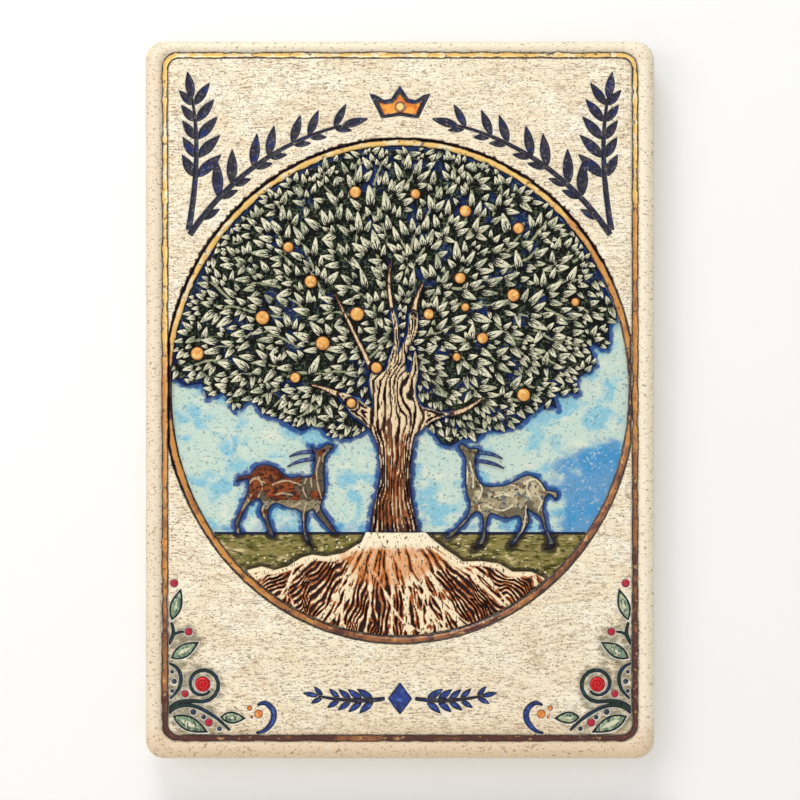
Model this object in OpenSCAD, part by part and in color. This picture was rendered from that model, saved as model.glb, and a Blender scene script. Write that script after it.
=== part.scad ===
// Wall plaque of fired clay with a tree of life in relief.
// The face lies in the X-Z plane and looks along -Y; the wall is the plane Y = 0, and the
// origin is the centre of the back, in that plane.  Every outline is drawn flat, with x to
// the right and y up, and is raised to a height above the wall before it is stood up.

/* [Slab] */
// Width of the slab
body_w = 149; // [148:1:153]
// Height of the slab
body_h = 210; // [208:1:214]
// Thickness of the slab at its rim
body_t = 12; // [12:0.5:14]
// Radius of the corners seen from the front
corner_r = 5.5; // [5:0.5:9]
// Rounding of the front edge
edge_r = 4; // [3:0.5:4.5]
// Width of the rim at each side, up to the middle of the gold line
rim_side = 6; // [5:0.5:6.5]
// Width of the rim at the top
rim_top = 4.5; // [4:0.5:5.5]
// Width of the rim at the bottom
rim_foot = 6.5; // [5.5:0.5:7.5]
// How far the field lies below the rim
field_drop = 1; // [0.6:0.1:1.2]
// Depth of the hollow in the back
hollow_d = 4; // [3:0.5:4.5]
// Width of the foot around the hollow
foot_w = 13; // [10:1:20]

/* [Medallion] */
// Half width of the oval, to the middle of its gold line
oval_a = 67.8; // [66:0.1:68]
// Half height of the oval, to the middle of its gold line
oval_b = 72.5; // [70:0.5:74]
// Height of the oval's centre above the centre of the slab
oval_rise = 2.5; // [0:0.5:4]
// Depth of the medallion below the field
oval_drop = 1.6; // [1.2:0.1:2]
// Width of the gold lines
line_w = 2.2; // [1.6:0.1:2.6]
// Thickness of the coloured slip in the medallion
slip_t = 0.3; // [0.2:0.1:0.4]
// Height of the horizon
horizon = -38.5; // [-42:0.5:-36]

/* [Tree] */
// Thickness of the carved ground behind the leaves
foliage_t = 0.8; // [0.6:0.1:1]
// Thickness of the leaves on that ground
leaf_t = 0.8; // [0.5:0.1:1]
// Length of a leaf
leaf_len = 5.6; // [4.5:0.1:6]
// Width of a leaf
leaf_w = 2.7; // [2:0.1:3]
// Thickness of the trunk
trunk_t = 1.9; // [1.5:0.1:2.2]
// Thickness of the boughs
bough_t = 1; // [0.8:0.1:1.2]
// Thickness of the fruit
fruit_t = 1.5; // [1:0.1:1.8]

/* [Ornament] */
// Depth of the glazed strokes in the field
stroke_d = 0.6; // [0.4:0.1:0.8]
// Thickness of the two deer
deer_t = 1.5; // [1:0.1:1.8]

/* [Hanger] */
// Height of the ring's hinge above the centre of the slab
hinge_z = 62; // [50:1:66]
// Radius of the glued disc
disc_r = 14; // [12:1:16]
// Radius of the ring's wire
wire_r = 0.8; // [0.6:0.1:0.9]
// Half width of the ring
ring_a = 8; // [7:0.5:9]

/* [Hidden] */
$fn = 64;

// Heights above the wall
field_z = body_t - field_drop;
floor_z = field_z - oval_drop;
slip_z = floor_z + slip_t;
foliage_z = slip_z + foliage_t;
leaf_z = foliage_z + leaf_t;
// How far the glaze of a stroke lies below the field
inlay_low = 0.2;
// Gap between two pieces that lie side by side
gap = 0.05;

// The field, inside the middle of the gold line
field_w = body_w - 2 * rim_side;
field_h = body_h - rim_top - rim_foot;
field_up = (rim_foot - rim_top) / 2;
field_r = 4;
oval_c = [0, oval_rise];

// Colours
clay = "#ecdcbc";
gold = "#c98a33";
navy = "#23264a";
leaf_green = "#4d6450";
dark_green = "#16261f";
bark = "#5a3524";
cream = "#efd6a8";

// ---- Paths and outlines ----------------------------------------------------------------

// Points of a quadratic curve from a to c, drawn towards b
function curve(a, b, c, n = 8) =
    [for (i = [0:n]) let (t = i / n) (1 - t) * (1 - t) * a + 2 * t * (1 - t) * b + t * t * c];

// Unit normal of path p at point i
function normal_at(p, i) =
    let (d = p[min(i + 1, len(p) - 1)] - p[max(i - 1, 0)]) [-d[1], d[0]] / norm(d);

// Outline of a stroke along path p, whose half width goes from w0 by w1 to w2
function stroke(p, w0, w1, w2) =
    let (n = len(p) - 1,
         w = [for (i = [0:n]) let (t = i / n) w0 * (1 - t) * (1 - 2 * t) + w1 * 4 * t * (1 - t)
             + w2 * t * (2 * t - 1)])
    concat([for (i = [0:n]) p[i] + normal_at(p, i) * max(w[i], 0.12)],
           [for (i = [n:-1:0]) p[i] - normal_at(p, i) * max(w[i], 0.12)]);

// Outline of a leaf from its base a to its tip b, w wide and widest near its base
function leaf(a, b, w, n = 4) =
    let (d = b - a, s = [-d[1], d[0]] / norm(d) * w / 2)
    concat([a],
           [for (i = [1:n]) let (t = i / (n + 1)) a + d * t + s * sin(180 * pow(t, 0.85))],
           [b],
           [for (i = [n:-1:1]) let (t = i / (n + 1)) a + d * t - s * sin(180 * pow(t, 0.85))]);

// Bases, tips and widths of n leaves along the stem p, on one side of it (1 left, -1 right),
// turned away from it by an angle and growing from length from to length to
function leaf_set(p, n, side, turn, from, to, wide) =
    [for (j = [1:n]) let (i = floor(j * (len(p) - 2) / n), d = p[i + 1] - p[i - 1],
        q = atan2(d[1], d[0]) + side * turn, l = from + (to - from) * (j - 1) / max(n - 1, 1))
        [p[i], p[i] + l * [cos(q), sin(q)], wide * l]];

// The leaf at the end of the stem p
function end_leaf(p, len, wide) =
    let (a = p[len(p) - 1], d = a - p[len(p) - 2], u = d / norm(d)) [a - u * 0.5, a + u * len, wide];

// A rounded line through the points p with n points to each of them, closed on itself unless
// open is 1
function smooth(p, n = 4, open = 0) =
    let (m = len(p))
    [for (i = [0:m - 1 - open], k = [0:n - 1])
        let (t = k / n, a = open == 1 ? p[max(i - 1, 0)] : p[(i + m - 1) % m], b = p[i],
             c = p[(i + 1) % m], d = open == 1 ? p[min(i + 2, m - 1)] : p[(i + 2) % m])
        0.5 * (2 * b + (c - a) * t + (2 * a - 5 * b + 4 * c - d) * t * t
            + (3 * b - a - 3 * c + d) * t * t * t)];

// Points of an oval around the medallion's centre, d outside the middle of its gold line
function oval(d, from = 0, to = 360, n = 96) =
    [for (i = [0:n]) let (q = from + (to - from) * i / n)
        oval_c + [(oval_a + d) * cos(q), (oval_b + d) * sin(q)]];

// Whether point p lies inside outline q
function inside(q, p) =
    len([for (i = [0:len(q) - 1]) let (a = q[i], b = q[(i + 1) % len(q)])
        if ((a[1] > p[1]) != (b[1] > p[1])
            && p[0] < (b[0] - a[0]) * (p[1] - a[1]) / (b[1] - a[1]) + a[0]) 1]) % 2 == 1;

// Distance of point p from the line from a to b
function off_line(p, a, b) =
    let (d = b - a, t = max(0, min(1, (p - a) * d / (d * d)))) norm(p - a - d * t);

// Distance of point p from the path q
function off_path(p, q) = min([for (i = [0:len(q) - 2]) off_line(p, q[i], q[i + 1])]);

// Stands the flat drawing up, from height low to height high above the wall
module raise(low, high) rotate([90, 0, 0]) translate([0, 0, low]) linear_extrude(high - low) children();

// A rectangle with round corners
module rounded(w, h, r) {
    square([w, h - 2 * r], center = true);
    square([w - 2 * r, h], center = true);
    for (x = [-1, 1], y = [-1, 1]) translate([x * (w / 2 - r), y * (h / 2 - r)]) circle(r);
}

// The field's outline, d outside the middle of its gold line
module field(d) translate([0, field_up]) rounded(field_w + 2 * d, field_h + 2 * d, field_r + d);

// The medallion's outline, d outside the middle of its gold line and cut off by the frame line
module medallion(d) intersection() {
    polygon(oval(d, 0, 360 * 95 / 96, 95));
    field(-line_w / 2 - gap);
}

// ---- Slab and gold lines ---------------------------------------------------------------

// The slab's outline with its front edge rounded
module blank() {
    raise(0, body_t - edge_r) rounded(body_w, body_h, corner_r);
    raise(0, body_t) rounded(body_w - 2 * edge_r, body_h - 2 * edge_r, corner_r - edge_r);
    rotate([90, 0, 0]) translate([0, 0, body_t - edge_r]) {
        for (y = [-1, 1]) translate([0, y * (body_h / 2 - edge_r), 0])
            rotate([0, 90, 0]) cylinder(h = body_w - 2 * corner_r, r = edge_r, center = true);
        for (x = [-1, 1]) translate([x * (body_w / 2 - edge_r), 0, 0])
            rotate([90, 0, 0]) cylinder(h = body_h - 2 * corner_r, r = edge_r, center = true);
        for (x = [0, 1], y = [0, 1]) mirror([x, 0, 0]) mirror([0, y, 0])
            translate([body_w / 2 - corner_r, body_h / 2 - corner_r, 0])
                rotate_extrude(angle = 90) intersection() {
                    translate([corner_r - edge_r, 0]) circle(edge_r);
                    translate([0, -edge_r]) square([corner_r, 2 * edge_r]);
                }
    }
}

module slab() color(clay) difference() {
    blank();
    raise(field_z, body_t + 1) field(line_w / 2);
    raise(floor_z, body_t + 1) medallion(line_w / 2);
    raise(field_z - stroke_d, body_t + 1) difference() {
        field(line_w / 2);
        field(-line_w / 2);
    }
    raise(-1, hollow_d) rounded(body_w - 2 * foot_w, body_h - 2 * foot_w, 10);
    raise(field_z - stroke_d, field_z + 1) field_strokes();
}

// Everything that is cut into the field and filled with glaze
module field_strokes() {
    for (side = [0, 1]) {
        mirror([side, 0]) sprig_stem_shape();
        mirror([side, 0]) sprig_leaf_shapes();
        in_corner(side, 0) {
            vine_stem_shape();
            vine_leaf_shapes();
            dots(concat(berry_at, seed_at, blossom_at));
            rosette_shape();
            tendril_shape();
        }
    }
    polygon(crown_line);
    foot_stem_shape();
    foot_leaf_shapes();
    foot_lozenge_shape();
}

// A glazed piece that fills its cut in the field, but for its last inlay_low
module inlay() raise(field_z - stroke_d, field_z - inlay_low) children();

// What is drawn from the field's lower left corner, put in that corner (side 0) or mirrored
// to the other (side 1), and cut off at d from the middle of the gold line
module in_corner(side, d) mirror([side, 0]) intersection() {
    translate([-field_w / 2, field_up - field_h / 2]) children();
    field(d);
}

module frame_line() color(gold) raise(field_z - stroke_d, field_z) difference() {
    field(line_w / 2 - gap);
    field(-line_w / 2 + gap);
}

module medallion_line() color(gold) raise(floor_z, field_z) difference() {
    medallion(line_w / 2 - gap);
    polygon(oval(-line_w / 2, 0, 360 * 95 / 96, 95));
}

// ---- Sky and grass ---------------------------------------------------------------------

module within_line() intersection() {
    polygon(oval(-line_w / 2 - gap, 0, 360 * 95 / 96, 95));
    field(-line_w / 2 - 2 * gap);
}

module sky_slip() color("#7fc0da") raise(floor_z, slip_z) intersection() {
    within_line();
    translate([-oval_a, horizon]) square([2 * oval_a, 2 * oval_b]);
}

module grass_slip() color("#7d8045") raise(floor_z, slip_z) intersection() {
    within_line();
    translate([-oval_a, horizon - oval_b]) square([2 * oval_a, oval_b]);
}

// ---- Tree ------------------------------------------------------------------------------

// Upper edge of the roots, from the left end to the right one
root_top = [[-44.5, -49.5], [-40.5, -48.5], [-36.5, -49.5], [-33, -48.5], [-29, -46],
    [-25.5, -45], [-21.5, -45.5], [-16.5, -44.5], [-11.5, -41.5], [-10, -38.5],
    [7.5, -38.5], [9, -40], [13.5, -43.5], [18.5, -47], [24, -47], [28.5, -47.5],
    [33, -50], [38.5, -50], [43.5, -52.5]];

// Outline of the trunk, from the foot of its left side upwards and round over its limbs
trunk_left = [[-9.3, -38.5], [-8.4, -32], [-6.4, -24], [-6.1, -17.6], [-7.8, -10.8]];
limb_left = [[-10, -7.6], [-13.2, -5], [-16.2, -1.4], [-18.2, 2], [-15.2, 1.9], [-11.1, -0.4],
    [-8, -2.4]];
limb_stump = [[-8.4, 2], [-9, 5.8], [-7.9, 8.8], [-5.4, 8.2]];
limb_centre = [[-4, 9], [-3.2, 12.3], [-1.9, 16.1], [-1.8, 20.8], [-2.8, 25.4], [-1.7, 26.2],
    [-0.3, 21], [-0.3, 16.2], [-0.7, 13.2]];
limb_upper = [[0.7, 16.1], [2.3, 19.4], [2.7, 25.2], [5.2, 25.5], [5.3, 20.3], [3.5, 16.9],
    [1.8, 13.2], [1.7, 9]];
limb_right = [[2.9, 8], [4.4, 15], [5.4, 8.6], [4.6, 3.9], [4.9, 0.6]];
bough_foot = [[6.7, -2.1], [9.5, -2.6], [11.4, -3.5], [15.4, -3.9], [10.6, -5.9], [6.7, -8.3]];
trunk_right = [[4.5, -11.5], [3.7, -17.6], [3.4, -24], [4.3, -32], [6.1, -38.5]];
trunk_line = concat(smooth(concat(trunk_left, limb_left, limb_stump, limb_centre, limb_upper,
    limb_right, bough_foot, trunk_right), 2, 1), [[6.1, -38.5]]);

// Middle lines of the boughs, from the trunk outwards
path_left = curve([-16.6, 0.6], [-20.5, 3.4], [-26, 4.4], 8);
path_right = curve([14, -4], [19, -3.8], [24, 0.6], 8);
path_centre = concat(curve([-2.2, 25.2], [-2.6, 28], [-3, 31], 4),
    curve([-3.2, 32.5], [-3.4, 36], [-2.3, 41], 5));
path_upper = curve([4, 24.6], [4.2, 29], [7, 34.5], 8);
path_outer = curve([-8, 8.4], [-11.6, 16], [-19, 31], 10);
bough_paths = [path_left, path_right, path_centre, path_upper, path_outer];

// Places of the fruit and their radii
fruit_at = [[-13, 60.5, 2], [4.5, 60, 1.7], [19, 55, 2], [34.5, 50, 1.9], [-32.5, 44.5, 1.8],
    [-26, 34.5, 2.1], [-40, 24, 2.3], [-12.5, 25, 2.3], [-22.5, 16.5, 2.3], [-59, 13.5, 2.2],
    [-30.5, 6.5, 1.8], [17.5, 35.5, 1.9], [33, 30.5, 2.1], [8.4, 25, 1.8], [19, 27, 1.5],
    [51, 28.5, 1.5], [24, 18, 1.9], [16.5, 12.5, 1.5], [36, 1.5, 2.2], [-6.9, 9.4, 1.9],
    [-14.2, -0.9, 1.7]];

// Lower edge of the foliage, from the left side of the medallion to the right one
foliage_foot = [[-65, 5.4], [-62.5, 4], [-58, 4.5], [-56.5, 0], [-52, 2], [-48, -3.5],
    [-43.5, 0], [-40, -4.5], [-35, -6], [-29, -9.5], [-24, -7.5], [-20.5, -11], [-14.5, -11.5],
    [-9, -8.6], [8, -7.5], [11.5, -13], [14.5, -14], [18, -11.5], [22.5, -12], [25, -8.5], [29, -9.5],
    [35, -7.5], [42, -1.5], [46.5, -3], [45, 1.5], [52.5, 1.5], [51, 5.5], [57.5, 10],
    [55.5, 16], [61, 14.5], [61.5, 22]];

foliage_line = concat(foliage_foot, oval(-line_w / 2 - 0.1, 17, 177, 60));

module roots() color(cream) raise(slip_z, slip_z + trunk_t - 0.2) intersection() {
    polygon(concat(root_top, [[60, -80], [-60, -80]]));
    polygon(oval(-line_w / 2 - 0.2, 0, 360 * 95 / 96, 95));
}

// Room for the fruit in the wood
module fruit_seats() for (f = fruit_at) translate([f[0], f[1]]) circle(f[2] + gap);

module trunk() color(bark) raise(slip_z, slip_z + trunk_t) difference() {
    polygon(trunk_line);
    fruit_seats();
}

module bough(path, w0, w1, w2) color(bark) raise(foliage_z, foliage_z + bough_t) difference() {
    polygon(stroke(path, w0, w1, w2));
    polygon(trunk_line);
    fruit_seats();
}

module bough_left() bough(path_left, 1.1, 0.9, 0.5);
module bough_right() bough(path_right, 1, 0.9, 0.5);
module bough_centre() bough(path_centre, 0.9, 0.8, 0.4);
module bough_upper() bough(path_upper, 1.2, 0.9, 0.5);
module bough_outer() bough(path_outer, 1, 0.8, 0.5);

module foliage() color(dark_green) raise(slip_z, foliage_z) difference() {
    polygon(foliage_line);
    polygon(trunk_line);
}

// The leaves stand in rings around the tree's heart and point away from it
heart = [0, 2];
ring_step = leaf_len + 0.9;
leaf_gap = 1.5;

// Whether a leaf at p of length len is clear of the edge, the fruit, the trunk and the boughs
function leaf_fits(p, tip, base) =
    inside(foliage_line, tip) && inside(foliage_line, base)
    && norm([(tip - oval_c)[0] / (oval_a - 2.2), (tip - oval_c)[1] / (oval_b - 2.2)]) < 1
    && min([for (f = fruit_at) norm(p - [f[0], f[1]]) - f[2]]) > leaf_len / 2 + 0.1
    && min([for (path = bough_paths) off_path(p, path)]) > leaf_len / 2 + 1
    && off_path(p, trunk_line) > leaf_len / 2 + 0.2 && !inside(trunk_line, p);

leaf_list = [for (j = [1:12]) let (r = 6 + ring_step * j, n = floor(6.283 * r / (leaf_w + leaf_gap)))
    for (i = [0:n - 1]) let (q = 360 * (i + (j % 2) / 2) / n, u = [cos(q), sin(q)],
        p = heart + u * r, tip = p + u * leaf_len / 2, base = p - u * leaf_len / 2)
        if (leaf_fits(p, tip, base)) [base, tip, q]];

// The leaves whose ring angle lies between two values
module leaves(from, to) color(leaf_green) raise(foliage_z, leaf_z)
    for (l = leaf_list) if (l[2] >= from && l[2] < to) polygon(leaf(l[0], l[1], leaf_w, 3));

module leaves_right() {
    leaves(0, 55);
    leaves(270, 360);
}
module leaves_top() leaves(55, 125);
module leaves_left() leaves(125, 270);

module fruit() color(gold) for (f = fruit_at)
    rotate([90, 0, 0]) translate([f[0], f[1], foliage_z + 0.02]) {
        cylinder(h = fruit_t - 0.5, r = f[2]);
        translate([0, 0, fruit_t - 0.5]) cylinder(h = 0.5, r1 = f[2], r2 = f[2] - 0.6);
    }

// ---- Deer ------------------------------------------------------------------------------

// Each deer's outline runs from its nose over the head and back, and round by the legs
stag_head = [[-19.3, -13.3], [-20.4, -12.6], [-22.2, -13], [-24, -14.2], [-26.6, -13.1], [-25.2, -15.2],
    [-25, -17.4]];
stag_back = [[-25.3, -20], [-26, -22.2], [-29, -21.9], [-32.5, -22.4], [-36, -19.5], [-40, -18.5],
    [-42.8, -19.8], [-43.7, -21.4]];
stag_tail = [[-47.2, -22.2], [-47.8, -24.2], [-44.6, -23.2]];
stag_hind_leg = [[-44.6, -26.4], [-45.6, -28.8], [-46.7, -31.8], [-48.3, -35], [-48.5, -37.2],
    [-47.6, -39.4], [-46.1, -39], [-46.8, -36.6], [-46, -34], [-44.2, -30.8], [-41.8, -29]];
stag_far_hind_leg = [[-40.3, -30.3], [-41.3, -32.5], [-39.9, -34.8], [-39.1, -37.4], [-38.3, -39.4],
    [-36.4, -40.1], [-37.4, -37], [-38.4, -33.4], [-37.8, -31.4]];
stag_belly = [[-36, -30.3], [-33.2, -31.5], [-29.8, -32.3]];
stag_front_leg = [[-28.9, -34], [-28.7, -37.2], [-28.1, -40.2], [-26.9, -42.2], [-25.5, -42.8],
    [-26.7, -40], [-27.3, -36.7], [-26.9, -33.2]];
stag_raised_leg = [[-25.6, -32.2], [-24.2, -34.2], [-21.4, -37.3], [-19.9, -38.7], [-18.2, -38.8],
    [-19.2, -37.1], [-21.1, -34.3], [-22.8, -31.6]];
stag_chest = [[-22.6, -29.8], [-21.8, -27.5], [-21.8, -24], [-22, -20.5], [-21.8, -17.5],
    [-21.1, -15.8], [-20, -14.7]];
stag_line = smooth(concat(stag_head, stag_back, stag_tail, stag_hind_leg, stag_far_hind_leg, stag_belly,
    stag_front_leg, stag_raised_leg, stag_chest), 2);

hind_head = [[16.9, -13.6], [18.2, -12.5], [20, -13.8], [23.4, -14.1], [22.3, -16.1]];
hind_back = [[22.2, -19.7], [22.9, -22.9], [24.6, -24.7], [29, -24.9], [32.2, -24], [36.6, -21.7],
    [39.4, -22.2], [41.6, -23.9], [42.9, -26]];
hind_tail = [[46, -26.6], [45.6, -29.4], [43.3, -27.6]];
hind_rear_leg = [[42.2, -30.1], [41.9, -32.4], [42.6, -34.6], [43.1, -37.6], [45, -41], [44.9, -43.4],
    [42, -43.7], [43.2, -41.2], [41.6, -37.4], [40.6, -34.2], [38.4, -33]];
hind_far_rear_leg = [[37.2, -32], [38, -35.2], [36.7, -37.6], [34.8, -40.3], [33.1, -42.8], [31.6, -42.8],
    [33.4, -40], [35.2, -36.2], [34.6, -34]];
hind_belly = [[32.7, -34.5], [30, -34.6], [26.6, -33.2]];
hind_front_leg = [[25.6, -35.4], [25.3, -39], [24.5, -42], [23, -43.3], [21, -43.8], [22.9, -41.4],
    [23.9, -38.6], [23.8, -33.8]];
hind_raised_leg = [[22, -32.9], [19.7, -35.5], [16.6, -38.7], [14.2, -40.6], [13, -39.8], [15.8, -37.5],
    [18.7, -34.6], [20, -32]];
hind_chest = [[20, -29.9], [19, -26.5], [18.8, -22.9], [19, -19.3], [18.8, -16.9], [17.7, -15.2]];
hind_line = smooth(concat(hind_head, hind_back, hind_tail, hind_rear_leg, hind_far_rear_leg, hind_belly,
    hind_front_leg, hind_raised_leg, hind_chest), 2);

module deer_left() color("#7a3f22") raise(slip_z, slip_z + deer_t) polygon(stag_line);
module deer_right() color("#b7a27a") raise(slip_z, slip_z + deer_t) polygon(hind_line);

// Two horns, each along a path, that butt against the head
module horns(upper, lower, line) color(navy) raise(slip_z, slip_z + 0.8) difference() {
    union() {
        polygon(stroke(upper, 0.55, 0.6, 0.2));
        polygon(stroke(lower, 0.55, 0.6, 0.2));
    }
    polygon(line);
}
module deer_left_horns() horns(curve([-24.8, -15.2], [-29, -14.8], [-32.4, -16.6], 6),
    curve([-24.8, -17.3], [-29.2, -17.2], [-32.9, -19.5], 6), stag_line);
module deer_right_horns() horns(curve([22.8, -15.4], [26.6, -15.2], [30, -17.2], 6),
    curve([22, -17.8], [26.6, -17.8], [30.4, -20], 6), hind_line);

// ---- Crown -----------------------------------------------------------------------------

crown_at = [0, field_up + field_h / 2 - 18.5];
// Right half of the crown, from the foot to the middle point, and the same inside its edge
crown_half = [[5.4, 0], [9, 7.3], [7, 6.9], [4.6, 5.4], [2.6, 5.8], [0, 9.6]];
crown_inner_half = [[4.7, 1], [6.4, 5.2], [4.4, 4.3], [2, 4.7], [0, 7.4]];

// Outline of a whole crown whose right half is given, with a slightly hollow foot
function crown_outline(half, foot) = [for (p = concat([[0, foot]], half,
    [for (i = [len(half) - 2:-1:0]) [-half[i][0], half[i][1]]])) crown_at + p];
crown_line = crown_outline(crown_half, 0.8);
crown_inner = crown_outline(crown_inner_half, 1.7);

module jewel_shape(r) translate(crown_at + [0, 3.4]) circle(r);

module crown_rim() color(navy) inlay() difference() {
    polygon(crown_line);
    polygon(crown_inner);
}
module crown_fill() color("#d9781e") inlay() difference() {
    polygon(crown_inner);
    jewel_shape(1.4);
}
module crown_jewel() color(gold) inlay() jewel_shape(1.4 - gap);

// ---- Sprigs in the upper corners -------------------------------------------------------

// One stem follows the medallion from the corner up to the crown, one climbs beside the frame
sweep_path = [for (q = [35:2:77]) oval_c + [(oval_a + 7) * cos(q), (oval_b + 7) * sin(q)]];
climb_path = [for (p = curve([-6.9, -51], [-10.9, -28.5], [-7.9, -12.5], 14))
    [field_w / 2, field_up + field_h / 2] + p];
climb_top = [for (i = [4:14]) climb_path[i]];
sweep_top = [for (i = [3:21]) sweep_path[i]];
sprig_leaves = concat(
    leaf_set(sweep_top, 7, -1, 46, 11.5, 8, 0.3), leaf_set(sweep_path, 8, 1, 24, 6.6, 5.6, 0.36),
    leaf_set(climb_top, 5, -1, 34, 8, 6.4, 0.38), leaf_set(climb_top, 5, 1, 44, 10.5, 8.5, 0.32),
    [end_leaf(sweep_path, 8, 2.6), end_leaf(climb_path, 8, 2.8)]);

module sprig_stem_shape() {
    polygon(stroke(sweep_path, 0.9, 0.7, 0.4));
    polygon(stroke(climb_path, 0.9, 0.7, 0.4));
}
module sprig_leaf_shapes() for (l = sprig_leaves) polygon(leaf(l[0], l[1], l[2], 5));

module sprig() color(navy) inlay() sprig_stem_shape();
module sprig_leaf_set() color(navy) inlay() difference() {
    sprig_leaf_shapes();
    sprig_stem_shape();
}
module sprig_right() sprig();
module sprig_right_leaves() sprig_leaf_set();
module sprig_left() mirror([1, 0, 0]) sprig();
module sprig_left_leaves() mirror([1, 0, 0]) sprig_leaf_set();

// ---- Ornament in the foot of the field -------------------------------------------------

foot_at = [0, field_up - field_h / 2 + 11.5];
foot_path = [for (p = curve([4.4, 0], [14, -1.4], [24, 0.8], 12)) foot_at + p];
foot_leaf_list = concat([end_leaf(foot_path, 4.6, 1.6)],
    leaf_set(foot_path, 5, 1, 38, 6, 4.4, 0.36), leaf_set(foot_path, 5, -1, 38, 6, 4.4, 0.36));

module foot_stem_shape() for (s = [0, 1]) mirror([s, 0]) polygon(stroke(foot_path, 0.6, 0.6, 0.3));
module foot_leaf_shapes() for (s = [0, 1], l = foot_leaf_list) mirror([s, 0])
    polygon(leaf(l[0], l[1], l[2], 4));
module foot_lozenge_shape() translate(foot_at) polygon([[-3.6, 0], [0, -4.8], [3.6, 0], [0, 4.8]]);

module foot_sprig() color(navy) inlay() foot_stem_shape();
module foot_leaves() color(navy) inlay() difference() {
    foot_leaf_shapes();
    foot_stem_shape();
}
module foot_lozenge() color("#2f4690") inlay() foot_lozenge_shape();

// ---- Vines in the lower corners, drawn from the left corner of the field -----------------

disc_at = [11, 15.7];
disc_radius = 2.4;
// Stem of the upright leaf with its berry's stalk, edge of the lobe, coil and edge of the pod
shoot_path = smooth([[0.9, 27.1], [2.5, 30.5], [1.7, 34.5]], 4, 1);
stalk_path = [[2.6, 30.1], [4.1, 30.9], [5.7, 31]];
lobe_path = smooth([[0.9, 21.9], [3.5, 20.5], [4.7, 17.5], [3.9, 14.1], [0.9, 10.9]], 4, 1);
coil_path = concat(smooth([[0.9, 8.5], [4, 10.5], [8.5, 10.9]], 3, 1),
    [for (q = [-90:24:318]) disc_at + (5.1 - 2.2 * (q + 90) / 408) * [cos(q), sin(q)]]);
pod_path = smooth([[0.9, 7.1], [3.5, 9.1], [7, 9.6], [10.9, 8.4], [15.5, 5.5], [19.7, 1.5]], 4, 1);

vine_leaf_ends = [[[1.9, 34.1], [4.8, 43.8], 3.8], [[1.6, 23.1], [10.2, 28.1], 4.2],
    [[2.1, 6.5], [12.9, 1.5], 4.6], [[15.9, 6.1], [23.8, 5.7], 3.8]];

berry_at = [[2.7, 45.1, 1.3], [6.9, 31, 1.3], [5.9, 12.9, 1.2], [12.8, 4.5, 1.3]];
seed_at = [[2.1, 19.3, 0.7], [2.7, 16.5, 0.9], [2.1, 13.7, 0.7], [8.3, 7.6, 1], [11.3, 6.1, 0.8],
    [15.9, 2.7, 0.8]];
blossom_at = [[24.7, 8.7, 0.9], [25.3, 6.1, 0.6], [27.3, 7, 1.4]];

// Round places, each given by its middle and radius, grown by d
module dots(list, d = 0) for (b = list) translate([b[0], b[1]]) circle(b[2] + d);

module vine_stem_shape() {
    polygon(stroke(shoot_path, 0.5, 0.6, 0.4));
    polygon(stroke(stalk_path, 0.4, 0.4, 0.3));
    polygon(stroke(lobe_path, 0.3, 0.6, 0.3));
    polygon(stroke(coil_path, 0.5, 0.6, 0.4));
    polygon(stroke(pod_path, 0.5, 0.6, 0.4));
}
module vine_leaf_shapes() for (l = vine_leaf_ends) polygon(leaf(l[0], l[1], l[2], 6));
module rosette_shape() translate(disc_at) circle(disc_radius);
module tendril_shape() polygon(stroke(smooth([[26.9, 9.6], [29.3, 10.2], [31.6, 7.9], [31.3, 4.7],
    [28.9, 2.1], [26.1, 1.5]], 4, 1), 0.3, 0.9, 0.3));

// A glazed piece of the vine on one side
module vine_inlay(side) inlay() in_corner(side, -line_w / 2 - gap) children();

module vine(side) color("#203a34") vine_inlay(side) difference() {
    vine_stem_shape();
    vine_leaf_shapes();
    rosette_shape();
    dots(concat(berry_at, seed_at));
}
module vine_leaf_set(side) color("#4f7a66") vine_inlay(side) difference() {
    vine_leaf_shapes();
    dots(concat(berry_at, seed_at));
}
module berries(side) color("#9c1f34") vine_inlay(side) dots(berry_at, -gap);
module seeds(side) color("#23364a") vine_inlay(side) dots(seed_at, -gap);
module rosette(side) color("#b5202c") vine_inlay(side) translate(disc_at) circle(disc_radius - gap);
module blossom(side) color("#b9662a") vine_inlay(side) dots(blossom_at, -gap);
module tendril(side) color("#2f4690") vine_inlay(side) tendril_shape();

module vine_left() vine(0);
module vine_left_leaves() vine_leaf_set(0);
module berries_left() berries(0);
module seeds_left() seeds(0);
module rosette_left() rosette(0);
module blossom_left() blossom(0);
module tendril_left() tendril(0);
module vine_right() vine(1);
module vine_right_leaves() vine_leaf_set(1);
module berries_right() berries(1);
module seeds_right() seeds(1);
module rosette_right() rosette(1);
module blossom_right() blossom(1);
module tendril_right() tendril(1);

// ---- Hanger in the hollow of the back ---------------------------------------------------

// Thicknesses of the disc, the strap and the strap's eye around the wire
disc_t = 0.8;
strap_t = 0.5;
eye_t = 0.5;
strap_w = 10;
strap_len = 8;
// Play between the wire and the eye
wire_gap = 0.06;
barrel_r = wire_r + wire_gap + eye_t;
// Heights of the disc's free side and of the hinge above the wall
disc_low = hollow_d - disc_t;
hinge_h = disc_low - barrel_r;
// Bend of the ring's upper corners and length of its straight sides
bend_r = 2;
leg_drop = 8;

module hanger_disc() color("#cfc7b4") rotate([90, 0, 0])
    translate([0, hinge_z + 4, disc_low]) cylinder(h = disc_t, r = disc_r);

module hanger_strap() color("#b9b9b4") rotate([90, 0, 0]) translate([0, hinge_z, 0]) difference() {
    union() {
        translate([-strap_w / 2, 0, disc_low - strap_t]) cube([strap_w, strap_len, strap_t]);
        translate([0, 0, hinge_h]) rotate([0, 90, 0]) cylinder(h = strap_w, r = barrel_r, center = true);
    }
    translate([0, 0, hinge_h]) rotate([0, 90, 0])
        cylinder(h = strap_w + 2, r = wire_r + wire_gap, center = true);
}

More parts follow.
